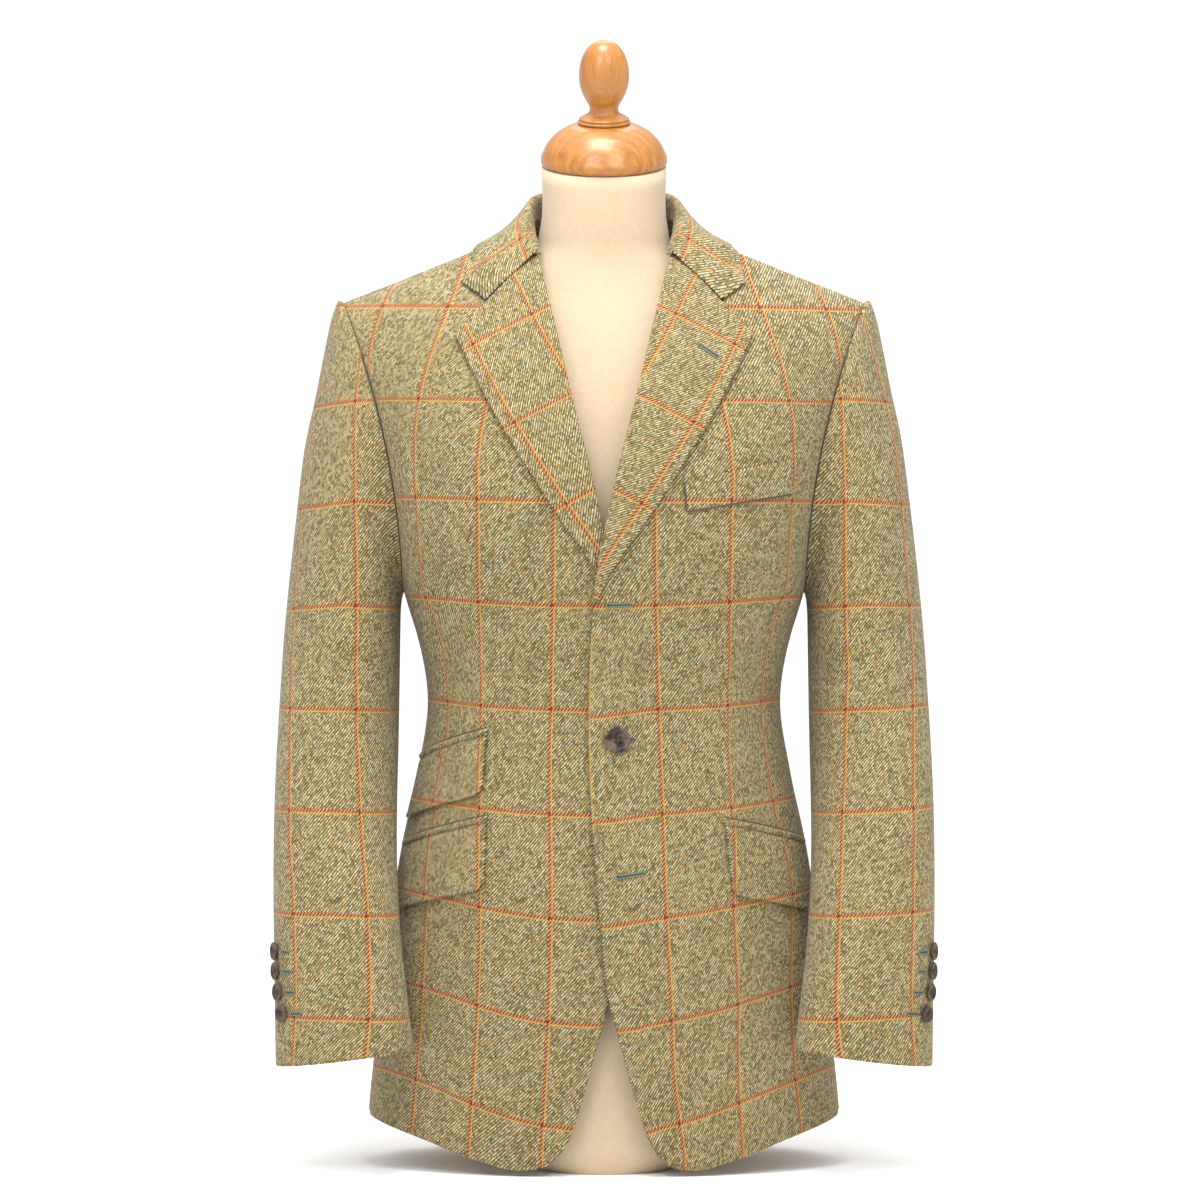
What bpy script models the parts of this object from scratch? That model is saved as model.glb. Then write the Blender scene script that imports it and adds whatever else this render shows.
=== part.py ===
"""A single-breasted tweed jacket on a limbless dress form, in metres, +Z up, front towards -Y."""
import bmesh
import bpy
import math
import numpy as np

# Driving dimensions, in millimetres; MM turns them into metres at the end.
MM = 0.001
CLOTH = 2.2                 # wall of the tweed panels
SEAM_GAP = 0.4              # clear space between neighbouring pieces
FULLNESS = 2.3              # power of the rounded horizontal sections
BREAK_X, BREAK_Z = -8.3, 478.0     # where the lapels start to turn back
ARMPIT_Z = 488.0            # lowest point of the armhole
LAP = 6.6                   # how far the left front stands in front of the right one
LAP_FULL_X = 16.0           # the lap is full inside this distance from the centre line
LAP_END_X = 70.0            # and has died away at this one
LAP_FROM_DEPTH, LAP_FULL_DEPTH = 30.0, 110.0
CHEST_SWELL, BACK_SWELL = 9.0, 5.0
BACK_NECK_SHARE = 0.3       # share of a half back's top that lies round the neck
SHOULDER_SLOPE = 1.05       # how far the cloth faces upwards on the shoulders
SHOULDER_SLOPE_FROM, SHOULDER_SLOPE_FULL = 600.0, 790.0
SHOULDER_NECK = np.array([66.0, -6.0, 800.0])
SHOULDER_TIP = np.array([224.0, 4.0, 737.0])
FRONT_COLUMNS, FRONT_LOWER_ROWS, FRONT_UPPER_ROWS = 12, 16, 11
BACK_COLUMNS, BACK_LOWER_ROWS, BACK_UPPER_ROWS = 9, 13, 11
SLEEVE_SIDES = 22
BUTTON_SIDES = 16

# Horizontal sections of the jacket body: half width, depth to the front and to the back.
SECTION_COLUMNS = ("height", "half_width", "front", "back")
SECTIONS = (
    (0.0, 205.0, 121.0, 126.0),
    (40.0, 203.0, 122.0, 125.0),
    (110.0, 196.0, 124.0, 123.0),
    (190.0, 186.0, 125.0, 120.0),
    (275.0, 173.0, 123.0, 113.0),
    (335.0, 160.0, 119.0, 105.0),
    (398.0, 151.5, 117.0, 99.0),
    (450.0, 160.0, 125.0, 108.0),
    (488.0, 172.0, 132.0, 117.0),
    (520.0, 180.0, 135.0, 120.0),
)

# Edge of a front below the break: height, and how far it lies past the centre line.
FRONT_EDGE_COLUMNS = ("height", "past_centre")
FRONT_EDGE = (
    (32.0, -37.0),
    (60.0, -28.0),
    (100.0, -17.5),
    (150.0, -4.5),
    (200.0, 1.0),
    (280.0, 8.0),
    (366.0, 12.0),
    (430.0, 11.0),
    (478.0, 8.3),
)

# Hem of a front from its rounded corner to the side seam: distance from the centre, height.
FRONT_HEM_COLUMNS = ("across", "height")
FRONT_HEM = (
    (37.0, 32.0),
    (45.0, 19.0),
    (56.0, 9.5),
    (72.0, 6.0),
    (110.0, 13.5),
    (155.0, 29.0),
    (203.0, 43.0),
)
BACK_HEM_Z = 43.0
RIGHT_EXTRA = 8.0           # the right front reaches this much further under the left one
RIGHT_EXTRA_FULL_Z, RIGHT_EXTRA_END_Z = 300.0, 470.0
HEM_SPACING, HEIGHT_SPACING = 1.15, 0.9

# Roll line, where the lapel turns back: height, distance across, depth of the cloth there.
ROLL_COLUMNS = ("height", "across", "depth")
ROLL_LINE = (
    (478.0, -8.3, -130.5),
    (510.0, -2.8, -134.5),
    (580.0, 11.0, -136.0),
    (650.0, 28.5, -122.0),
    (720.0, 45.0, -92.0),
    (765.0, 56.5, -58.0),
    (800.0, 66.0, -6.0),
)

# Centre seam of the back: height and depth.
BACK_SEAM_COLUMNS = ("height", "depth")
BACK_SEAM = (
    (488.0, 117.0),
    (560.0, 124.0),
    (640.0, 124.0),
    (710.0, 108.0),
    (760.0, 86.0),
    (797.0, 62.0),
)

# Sleeve rings from the armhole to the cuff: outer and inner edge, middle depth, half depth.
RING_COLUMNS = ("outer_x", "outer_z", "inner_x", "inner_z", "middle_y", "half_depth", "hollow")
RINGS = (
    (224.0, 737.0, 172.0, 488.0, 4.0, 67.0, 13.0),
    (228.5, 738.0, 173.2, 485.0, 4.0, 68.5, 9.0),
    (234.0, 724.0, 174.0, 481.0, 4.0, 70.0, 5.5),
    (239.5, 699.0, 174.6, 476.0, 4.0, 71.5, 3.0),
    (246.5, 663.0, 175.0, 468.0, 3.0, 72.5, 1.0),
    (255.5, 618.0, 175.2, 455.0, 2.0, 73.0, 0.0),
    (263.0, 563.0, 175.4, 438.0, 0.0, 72.0, 0.0),
    (269.5, 505.0, 175.6, 415.0, -3.0, 70.0, 0.0),
    (274.5, 450.0, 175.8, 388.0, -8.0, 67.5, 0.0),
    (277.5, 395.0, 176.0, 355.0, -19.0, 64.0, 0.0),
    (279.5, 342.0, 176.2, 317.0, -36.0, 60.0, 0.0),
    (280.0, 290.0, 175.8, 276.0, -56.0, 55.5, 0.0),
    (279.0, 238.0, 173.8, 234.0, -77.0, 50.5, 0.0),
    (277.5, 187.0, 170.0, 190.0, -93.0, 45.5, 0.0),
    (276.0, 138.0, 164.5, 147.0, -104.0, 41.0, 0.0),
    (275.0, 94.0, 159.5, 108.0, -111.0, 38.0, 0.0),
)

# Collar from the centre of the back round to its front end: the seam inside, the fold, the fall's edge,
# and how far the fall bulges between the last two.
COLLAR = (
    (0.0, 58.5, 806.0, 0.0, 62.0, 838.0, 0.0, 86.0, 790.0, 3.0),
    (31.0, 51.5, 806.0, 33.0, 54.0, 837.5, 54.0, 79.0, 791.0, 2.5),
    (53.0, 31.0, 807.0, 56.0, 31.0, 833.0, 88.0, 51.0, 793.0, -1.0),
    (60.5, 4.0, 806.5, 63.5, 2.0, 821.0, 105.0, 8.0, 788.0, -4.0),
    (60.0, -21.0, 795.0, 64.0, -24.0, 804.0, 113.0, -24.0, 774.0, 0.0),
    (57.0, -40.0, 784.0, 60.5, -44.0, 787.5, 116.0, -52.0, 746.5, 2.0),
    (54.5, -49.5, 775.0, 58.0, -54.0, 776.8, 97.0, -73.0, 731.9, 2.5),
)
COLLAR_STEPS_PER_ROW = 3
COLLAR_STAND_STEPS, COLLAR_FALL_STEPS = 3, 5
COLLAR_STAND_SHARE, COLLAR_FALL_START = 0.85, 0.12
COLLAR_CROWN = 1.2          # how far the fold is rounded up
COLLAR_WALL = 2.0
COLLAR_CLEAR = 0.9          # least space between the fall and the panel under it
COLLAR_CHEST_Y, COLLAR_SEAM_MARGIN = -10.0, 4.0

# Lapel: ends of its roll line, then its outer edge by share of the roll line, across and up.
LAPEL_ROLL_BOTTOM_Z, LAPEL_ROLL_TOP_Z = 482.0, 773.2
LAPEL_EDGE_COLUMNS = ("share", "across", "height")
LAPEL_EDGE = (
    (0.0, -5.0, 481.0),
    (0.06, -1.0, 494.5),
    (0.13, 6.5, 508.0),
    (0.2, 16.0, 523.0),
    (0.31, 32.0, 546.0),
    (0.55, 62.5, 594.0),
    (0.8, 95.5, 650.0),
    (1.0, 122.0, 703.5),
)
LAPEL_ROWS, LAPEL_COLUMNS = 16, 7
LAPEL_WALL = 2.0
LAPEL_CLEAR = 0.9
LAPEL_ROLL_LIFT = 1.5       # how far the soft roll stands off near the fold
LAPEL_WRAP = 2.9            # how far the fold reaches past the roll line

# Pocket flaps: distance of the front end, angle of the far end, heights of the top edge, drop, slant.
FLAP_COLUMNS = ("name", "side", "front_x", "top_front", "far_angle", "top_far", "drop", "slant")
FLAPS = (
    ("left", 1, 101.5, 294.0, 1.33, 274.0, 58.0, -1.0),
    ("right", -1, 98.5, 296.0, 1.33, 272.0, 55.0, -5.4),
    ("ticket", -1, 98.5, 369.0, 1.36, 346.0, 49.0, -3.5),
)
FLAP_WALL, FLAP_CLEAR, FLAP_LIFT = 2.2, 0.6, 1.4
FLAP_COLUMNS_ACROSS, FLAP_ROWS = 9, 5
FLAP_CORNER, FLAP_CORNER_SHARE = 9.0, 0.7   # the rounded lower front corner
SKIRT_RADIUS = 170.0        # turns an angle round the skirt into a distance
WELT_HEIGHT, WELT_WALL = 6.0, 2.2

# Breast welt: corners across and up, lower and upper edge.
BREAST_LOWER = np.array([(68.0, 556.0), (157.0, 571.0)])
BREAST_UPPER = np.array([(66.0, 581.0), (157.0, 599.0)])
BREAST_COLUMNS, BREAST_ROWS = 8, 3
BREAST_WALL, BREAST_CLEAR = 1.6, 0.5

# Buttons: places, then the turned profile as radius share and height.
FRONT_BUTTON_X, FRONT_BUTTON_Z, FRONT_BUTTON_RADIUS = 11.3, 366.0, 10.8
CUFF_BUTTONS = ((188.0, 0.34), (171.5, 0.37), (154.5, 0.44), (137.0, 0.55))
CUFF_BUTTON_RADIUS = 7.6
CUFF_SEARCH_STEPS = 40
BUTTON_CLEAR = 1.0
BUTTON_PROFILE = ((0.0, 2.2), (0.55, 2.2), (0.72, 3.4), (0.9, 3.6), (1.0, 2.4), (0.92, 0.8), (0.6, 0.0))

# Dress form, in the columns of the sections: from its flat foot through the cloth to the neck.
FORM = (
    (0.0, 66.0, 103.0, 104.0),
    (4.0, 80.0, 105.0, 106.0),
    (8.0, 96.0, 106.0, 107.0),
    (14.0, 116.0, 107.0, 108.0),
    (24.0, 142.0, 107.0, 108.0),
    (36.0, 165.0, 107.0, 108.0),
    (50.0, 177.0, 107.0, 108.0),
    (66.0, 181.0, 107.5, 108.0),
    (110.0, 181.0, 109.0, 108.0),
    (190.0, 171.0, 109.0, 105.0),
    (275.0, 158.0, 107.0, 98.0),
    (335.0, 146.0, 103.0, 90.0),
    (398.0, 137.0, 101.0, 84.0),
    (450.0, 144.0, 108.0, 92.0),
    (500.0, 154.0, 114.0, 101.0),
    (570.0, 159.0, 112.0, 105.0),
    (640.0, 160.0, 98.0, 102.0),
    (690.0, 152.0, 80.0, 84.0),
    (722.0, 134.0, 66.0, 68.0),
    (745.0, 104.0, 56.0, 56.0),
    (764.0, 78.0, 51.0, 50.0),
    (780.0, 61.0, 49.5, 48.0),
    (800.0, 55.0, 50.0, 48.0),
    (854.0, 53.3, 51.5, 49.5),
)
FORM_SIDES = 36
NECK_TILT = 0.28            # the neck's top falls forward by this slope
NECK_TILT_FROM, NECK_TILT_FULL = 760.0, 850.0
NECK_LEAN = -4.0            # the neck's top leans forward by this much

# Neck cap and finial: turned profiles, radius and height above the cap's seat.
CAP_PROFILE = ((0.0, 36.0), (23.0, 36.0), (37.0, 30.2), (47.5, 20.5), (53.2, 10.0), (54.3, 5.0),
               (53.6, 1.6), (51.5, 0.0))
FINIAL_PROFILE = ((0.0, 71.5), (6.0, 70.8), (12.0, 67.3), (17.2, 60.5), (20.6, 51.0), (21.6, 41.5),
                  (20.4, 31.5), (16.8, 22.5), (13.1, 16.0), (12.4, 12.0), (13.9, 8.8), (18.4, 6.4),
                  (21.4, 4.4), (20.8, 3.2), (22.6, 2.0), (22.2, 0.3), (19.5, 0.0))
TURNED_SIDES = 28

# Colour, roughness and metal share of each finish.
SHARP_ANGLE = 50.0
FINISHES = {
    "tweed": ((0.30, 0.27, 0.15), 0.92, 0.0),
    "horn": ((0.06, 0.045, 0.035), 0.35, 0.0),
    "jersey": ((0.80, 0.71, 0.55), 0.85, 0.0),
    "beech": ((0.52, 0.25, 0.08), 0.4, 0.0),
}


# Tables and curves

def column(table, names, name):
    """One named column of a table, as an array."""
    return np.array([row[names.index(name)] for row in table], dtype=float)


def smooth(knots, values, at):
    """A smooth curve through (knots, values), read at the given places."""
    slopes = np.gradient(values, knots)
    at = np.clip(at, knots[0], knots[-1])
    cell = np.clip(np.searchsorted(knots, at, side="right") - 1, 0, len(knots) - 2)
    width = knots[cell + 1] - knots[cell]
    t = (at - knots[cell]) / width
    start = (1 + 2 * t) * (1 - t) ** 2 * values[cell] + t * (1 - t) ** 2 * width * slopes[cell]
    end = t * t * (3 - 2 * t) * values[cell + 1] + t * t * (t - 1) * width * slopes[cell + 1]
    return start + end


def read(table, names, key, name, at):
    """The named column of a table as a smooth function of its key column."""
    return smooth(column(table, names, key), column(table, names, name), np.asarray(at, dtype=float))


def ease(value, low, high):
    """Goes softly from 0 at low to 1 at high."""
    t = np.clip((value - low) / (high - low), 0.0, 1.0)
    return t * t * (3 - 2 * t)


def unit(vectors):
    """Vectors brought to length 1."""
    return vectors / np.linalg.norm(vectors, axis=-1, keepdims=True)


# The surface of the jacket body

def section_point(angle, height, table=SECTIONS):
    """A point of a horizontal section; angle 0 is the centre front and pi the centre back."""
    half = read(table, SECTION_COLUMNS, "height", "half_width", height)
    front = read(table, SECTION_COLUMNS, "height", "front", height)
    back = read(table, SECTION_COLUMNS, "height", "back", height)
    across, along = np.sin(angle), np.cos(angle)
    x = half * np.sign(across) * np.abs(across) ** (2 / FULLNESS)
    depth = np.where(along > 0, front, back)
    y = -depth * np.sign(along) * np.abs(along) ** (2 / FULLNESS)
    return np.stack([x, y, height + 0 * x], axis=-1)


def angle_at(x, height):
    """The angle of the front point of a section at distance x from the centre line."""
    half = read(SECTIONS, SECTION_COLUMNS, "height", "half_width", height)
    share = np.clip(np.abs(x) / half, 0.0, 1.0)
    return np.sign(x) * np.arcsin(share ** (FULLNESS / 2))


def armhole_point(turn, front_side):
    """A point of the armhole; turn 0 is the shoulder tip and pi the lowest point."""
    outer_x, outer_z, inner_x, inner_z, middle_y, half_depth, hollow = RINGS[0]
    reach = np.cos(turn)
    side = -1.0 if front_side else 1.0
    bow = np.sin(turn)
    x = (outer_x + inner_x) / 2 + reach * (outer_x - inner_x) / 2 - hollow * bow ** 2
    y = middle_y * (1 + reach) / 2 + side * half_depth * bow
    z = (outer_z + inner_z) / 2 + reach * (outer_z - inner_z) / 2
    return np.stack([x, y, z], axis=-1)


def wall_direction(points):
    """The way out of the body at each point, which depends on the place alone."""
    x, y, z = points[..., 0], points[..., 1], points[..., 2]
    height = np.minimum(z, SECTIONS[-1][0])
    half = read(SECTIONS, SECTION_COLUMNS, "height", "half_width", height)
    deep = read(SECTIONS, SECTION_COLUMNS, "height", "front", height)
    up = SHOULDER_SLOPE * ease(z, SHOULDER_SLOPE_FROM, SHOULDER_SLOPE_FULL)
    return unit(np.stack([x / half, (y / deep) * half / deep, up], axis=-1))


def patch(bottom, top, left, right, across, up):
    """A smooth four-sided patch, read at shares across and up; its sides are functions of a share."""
    u, v = across[..., None], up[..., None]
    none, full = np.zeros_like(across), np.ones_like(across)
    corners = ((1 - u) * (1 - v) * bottom(none) + u * (1 - v) * bottom(full)
               + (1 - u) * v * top(none) + u * v * top(full))
    return (1 - v) * bottom(across) + v * top(across) + (1 - u) * left(up) + u * right(up) - corners


def chest(across, up):
    """The chest of the wearer's left front, from the break to the shoulder seam."""
    edge_angle = angle_at(BREAK_X, BREAK_Z)

    def bottom(share):
        return section_point(edge_angle + share * (math.pi / 2 - edge_angle),
                             BREAK_Z + share * (ARMPIT_Z - BREAK_Z))

    def top(share):
        return SHOULDER_NECK + share[..., None] * (SHOULDER_TIP - SHOULDER_NECK)

    def left(share):
        height = BREAK_Z + share * (SHOULDER_NECK[2] - BREAK_Z)
        return np.stack([read(ROLL_LINE, ROLL_COLUMNS, "height", "across", height),
                         read(ROLL_LINE, ROLL_COLUMNS, "height", "depth", height), height], axis=-1)

    def right(share):
        return armhole_point(math.pi * (1 - share), True)

    points = patch(bottom, top, left, right, across, up)
    points[..., 1] -= CHEST_SWELL * np.sin(math.pi * across) * np.sin(math.pi * up ** 0.8)
    return points


def chest_point(x, height):
    """The chest points at distance x and height, found step by step."""
    x, height = np.broadcast_arrays(np.asarray(x, dtype=float), np.asarray(height, dtype=float))
    across, up = np.full(x.shape, 0.5), np.full(x.shape, 0.5)
    step = 1e-4
    for _ in range(14):
        here = chest(across, up)
        along = (chest(across + step, up) - here) / step
        above = (chest(across, up + step) - here) / step
        miss_x, miss_z = x - here[..., 0], height - here[..., 2]
        size = along[..., 0] * above[..., 2] - above[..., 0] * along[..., 2]
        across = np.clip(across + (miss_x * above[..., 2] - miss_z * above[..., 0]) / size, 0.001, 0.998)
        up = np.clip(up + (miss_z * along[..., 0] - miss_x * along[..., 2]) / size, 0.001, 0.998)
    return chest(across, up)


def lapped(points):
    """The wearer's left front brought forward where it lies over the right one."""
    moved = points.copy()
    near_centre = 1 - ease(np.abs(points[..., 0]), LAP_FULL_X, LAP_END_X)
    moved[..., 1] -= LAP * near_centre * ease(-points[..., 1], LAP_FROM_DEPTH, LAP_FULL_DEPTH)
    return moved


def sided(points, side):
    """Points of the wearer's left, kept for side 1 and mirrored for side -1."""
    placed = lapped(points) if side > 0 else points.copy()
    placed[..., 0] *= side
    return placed


def front_grid(extra):
    """A whole front from its hem to the shoulder seam, its edge reaching further by extra."""
    across = np.linspace(0.0, 1.0, FRONT_COLUMNS + 1)
    share = np.linspace(0.0, 1.0, FRONT_LOWER_ROWS + 1)
    hem_x = column(FRONT_HEM, FRONT_HEM_COLUMNS, "across")
    hem_z = column(FRONT_HEM, FRONT_HEM_COLUMNS, "height")
    hem_span = np.concatenate([[0.0], np.cumsum(np.hypot(np.diff(hem_x), np.diff(hem_z)))])
    along = across ** HEM_SPACING * hem_span[-1]
    bottom_x = smooth(hem_span, hem_x, along) - extra * (1 - across)
    bottom_z = smooth(hem_span, hem_z, along)
    top_z = BREAK_Z + across * (ARMPIT_Z - BREAK_Z)
    height = bottom_z + share[:, None] ** HEIGHT_SPACING * (top_z - bottom_z)
    edge = -read(FRONT_EDGE, FRONT_EDGE_COLUMNS, "height", "past_centre", height[:, 0])
    edge = edge - extra * (1 - ease(height[:, 0], RIGHT_EXTRA_FULL_Z, RIGHT_EXTRA_END_Z))
    edge_angle = angle_at(edge, height[:, 0])[:, None]
    hem_angle = angle_at(bottom_x, bottom_z)
    hem_share = (hem_angle - hem_angle[0]) / (hem_angle[-1] - hem_angle[0])
    spread = hem_share + (across - hem_share) * ease(share, 0.0, 0.5)[:, None]
    last = math.pi / 2 - SEAM_GAP / 2 / SECTIONS[0][1]
    lower = section_point(edge_angle + spread * (last - edge_angle), height)
    upper = chest(*np.meshgrid(across, np.linspace(0.0, 1.0, FRONT_UPPER_ROWS + 1)[1:]))
    upper[-1, :, 1] -= SEAM_GAP / 2
    return np.concatenate([lower, upper])


def back_seam_point(share):
    """The centre seam of the back above the armpit."""
    height = ARMPIT_Z + share * (BACK_SEAM[-1][0] - ARMPIT_Z)
    depth = read(BACK_SEAM, BACK_SEAM_COLUMNS, "height", "depth", height)
    return np.stack([np.full_like(height, SEAM_GAP / 2), depth, height], axis=-1)


def back_top_point(share):
    """The top of a half back: round the neck, then along the shoulder seam."""
    start = back_seam_point(np.array(1.0))
    turn = np.clip(share / BACK_NECK_SHARE, 0.0, 1.0) * math.pi / 2
    seam = np.clip((share - BACK_NECK_SHARE) / (1 - BACK_NECK_SHARE), 0.0, 1.0)
    neck = np.stack([start[0] + (SHOULDER_NECK[0] - start[0]) * np.sin(turn),
                     SHOULDER_NECK[1] + (start[1] - SHOULDER_NECK[1]) * np.cos(turn),
                     start[2] + (SHOULDER_NECK[2] - start[2]) * np.sin(turn)], axis=-1)
    shoulder = SHOULDER_NECK + seam[..., None] * (SHOULDER_TIP - SHOULDER_NECK)
    return np.where((share < BACK_NECK_SHARE)[..., None], neck, shoulder)


def back_level_point(share, height):
    """A point of the back below the armpit, by share from the centre seam to the side seam."""
    first = math.pi - SEAM_GAP / 2 / SECTIONS[0][1]
    last = math.pi / 2 + SEAM_GAP / 2 / SECTIONS[0][1]
    points = section_point(first + share * (last - first), height)
    points[..., 0] = np.maximum(points[..., 0], SEAM_GAP / 2)
    return points


def back_grid():
    """The left half of the back from its hem to the neck and shoulder seams."""
    across = np.linspace(0.0, 1.0, BACK_COLUMNS + 1)
    lower = back_level_point(*np.meshgrid(across, np.linspace(BACK_HEM_Z, ARMPIT_Z, BACK_LOWER_ROWS + 1)))

    def bottom(share):
        return back_level_point(share, np.full_like(share, ARMPIT_Z))

    def right(share):
        return armhole_point(math.pi * (1 - share), False)

    across, up = np.meshgrid(across, np.linspace(0.0, 1.0, BACK_UPPER_ROWS + 1)[1:])
    upper = patch(bottom, back_top_point, back_seam_point, right, across, up)
    swell = np.sin(math.pi * across / 2 + math.pi / 4) * np.sin(math.pi * up)
    upper[..., 1] += BACK_SWELL * swell * (across > 0)
    upper[-1, :, 1] += np.where(across[-1] >= BACK_NECK_SHARE, SEAM_GAP / 2, 0.0)
    return np.concatenate([lower, upper])


# Solids

def finish(name):
    """The material of one finish."""
    if name in bpy.data.materials:
        return bpy.data.materials[name]
    colour, roughness, metal = FINISHES[name]
    material = bpy.data.materials.new(name)
    material.use_nodes = True
    shader = material.node_tree.nodes["Principled BSDF"]
    shader.inputs["Base Color"].default_value = (*colour, 1.0)
    shader.inputs["Roughness"].default_value = roughness
    shader.inputs["Metallic"].default_value = metal
    return material


def add_solid(name, points, faces, finish_name):
    """One closed named object, its faces turned outwards."""
    mesh = bpy.data.meshes.new(name)
    shape = bmesh.new()
    corners = [shape.verts.new(point * MM) for point in points]
    for face in faces:
        shape.faces.new([corners[index] for index in face])
    bmesh.ops.recalc_face_normals(shape, faces=shape.faces)
    bmesh.ops.triangulate(shape, faces=shape.faces)
    shape.to_mesh(mesh)
    shape.free()
    mesh.materials.append(finish(finish_name))
    for polygon in mesh.polygons:
        polygon.use_smooth = True
    mesh.set_sharp_from_angle(angle=math.radians(SHARP_ANGLE))
    thing = bpy.data.objects.new(name, mesh)
    bpy.context.collection.objects.link(thing)
    return thing


def grid_directions(grid, closed):
    """Unit normals of a grid of points."""
    if closed:
        across = np.roll(grid, -1, axis=1) - np.roll(grid, 1, axis=1)
    else:
        across = np.gradient(grid, axis=1)
    along = np.gradient(grid, axis=0)
    return unit(np.cross(across, along))


def add_wall(name, outer, inner, finish_name, closed=False):
    """A thin closed wall between two grids of the same size, a tube where it is closed."""
    rows, columns = outer.shape[:2]
    points = np.concatenate([outer.reshape(-1, 3), inner.reshape(-1, 3)])
    second = rows * columns
    faces = []
    spans = columns if closed else columns - 1
    for row in range(rows - 1):
        for item in range(spans):
            a = row * columns + item
            b = row * columns + (item + 1) % columns
            faces.append((a, b, b + columns, a + columns))
            faces.append((second + a + columns, second + b + columns, second + b, second + a))
    for item in range(spans):
        following = (item + 1) % columns
        top, top_next = (rows - 1) * columns + item, (rows - 1) * columns + following
        faces.append((second + item, second + following, following, item))
        faces.append((top, top_next, second + top_next, second + top))
    if not closed:
        for row in range(rows - 1):
            left, above = row * columns, (row + 1) * columns
            right, right_above = left + columns - 1, above + columns - 1
            faces.append((left, above, second + above, second + left))
            faces.append((second + right, second + right_above, right_above, right))
    return add_solid(name, points, faces, finish_name)


def add_panel(name, grid, side):
    """A body panel: its outer points, and the same points moved in by the cloth's thickness."""
    inner = grid - CLOTH * wall_direction(grid)
    outer = sided(grid, side)
    return add_wall(name, outer, sided(inner, side), "tweed")


def sleeve_grid(fine=1):
    """Rings of the left sleeve, from the armhole to the cuff; fine divides the steps between rings."""
    knots = np.arange(len(RINGS), dtype=float)
    places = np.linspace(0.0, len(RINGS) - 1.0, (len(RINGS) - 1) * fine + 1)[:, None]
    ring = {name: smooth(knots, column(RINGS, RING_COLUMNS, name), places) for name in RING_COLUMNS}
    turns = np.arange(SLEEVE_SIDES) / SLEEVE_SIDES * 2 * math.pi
    reach, bow = np.cos(turns), np.sin(turns)
    x = ((ring["outer_x"] + ring["inner_x"]) / 2 + reach * (ring["outer_x"] - ring["inner_x"]) / 2
         - ring["hollow"] * bow ** 2)
    fade = np.exp(-places)
    y = ring["middle_y"] * (1 + reach * fade) / (1 + fade) - ring["half_depth"] * bow
    z = (ring["outer_z"] + ring["inner_z"]) / 2 + reach * (ring["outer_z"] - ring["inner_z"]) / 2
    grid = np.stack([x, y, z], axis=-1)
    grid[0, :, 0] += SEAM_GAP
    return grid


def add_sleeve(name, side):
    """A sleeve: a tube open at the armhole and the cuff."""
    grid = sleeve_grid()
    middle = grid.mean(axis=1, keepdims=True)
    normal = grid_directions(grid, True)
    outward = normal * np.sign((normal * (grid - middle)).sum(axis=-1, keepdims=True))
    outward[0] = unit(grid[0] - middle[0])
    inner = grid - CLOTH * outward
    mirror = np.array([side, 1.0, 1.0])
    return add_wall(name, grid * mirror, inner * mirror, "tweed", closed=True)


def lapel_grid():
    """Outer points of the left lapel, turned back on the chest from the roll line."""
    share = np.linspace(0.0, 1.0, LAPEL_ROWS + 1)
    roll_z = LAPEL_ROLL_BOTTOM_Z + share * (LAPEL_ROLL_TOP_Z - LAPEL_ROLL_BOTTOM_Z)
    roll_x = read(ROLL_LINE, ROLL_COLUMNS, "height", "across", roll_z)
    edge_x = read(LAPEL_EDGE, LAPEL_EDGE_COLUMNS, "share", "across", share)
    edge_z = read(LAPEL_EDGE, LAPEL_EDGE_COLUMNS, "share", "height", share)
    fold = chest_point(roll_x + 0.2, roll_z)
    out = wall_direction(fold)
    aside = unit(np.cross(out, chest_point(roll_x + 1.2, roll_z + 5.0) - fold))
    aside = -aside * np.sign(aside[:, :1])
    wall = LAPEL_WALL + LAPEL_CLEAR
    behind = fold + LAPEL_WRAP * aside - out
    over = fold + 0.75 * (LAPEL_WRAP * aside + wall * out)
    step = np.linspace(0.04, 1.0, LAPEL_COLUMNS)
    leaf_x = roll_x[:, None] + step * (edge_x - roll_x)[:, None]
    leaf_z = roll_z[:, None] + step * (edge_z - roll_z)[:, None]
    spot = chest_point(leaf_x, leaf_z)
    roll = LAPEL_ROLL_LIFT * np.sin(math.pi * np.minimum(1.0, step * 1.1)) * ease(share, 0.1, 0.4)[:, None]
    leaf = spot + (wall + roll)[..., None] * wall_direction(spot)
    return np.concatenate([behind[:, None], over[:, None], leaf], axis=1)


def add_lapel(name, side):
    """A lapel, with the fold that wraps the edge of its front."""
    grid = lapel_grid()
    inner = grid - LAPEL_WALL * grid_directions(grid, False)
    return add_wall(name, sided(grid, side), sided(inner, side), "tweed")


def clear_of_chest(spots):
    """Collar points moved out where the collar's wall would touch the chest below."""
    seam_share = (spots[..., 0] - SHOULDER_NECK[0]) / (SHOULDER_TIP[0] - SHOULDER_NECK[0])
    seam_z = SHOULDER_NECK[2] + seam_share * (SHOULDER_TIP[2] - SHOULDER_NECK[2])
    over_chest = (spots[..., 1] < COLLAR_CHEST_Y) & (spots[..., 2] < seam_z - COLLAR_SEAM_MARGIN)
    near = spots[over_chest]
    under = chest_point(near[:, 0], near[:, 2])
    out = wall_direction(under)
    short = COLLAR_WALL + COLLAR_CLEAR - ((near - under) * out).sum(axis=-1)
    moved = spots.copy()
    moved[over_chest] = near + np.maximum(short, 0.0)[:, None] * out
    return moved


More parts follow.
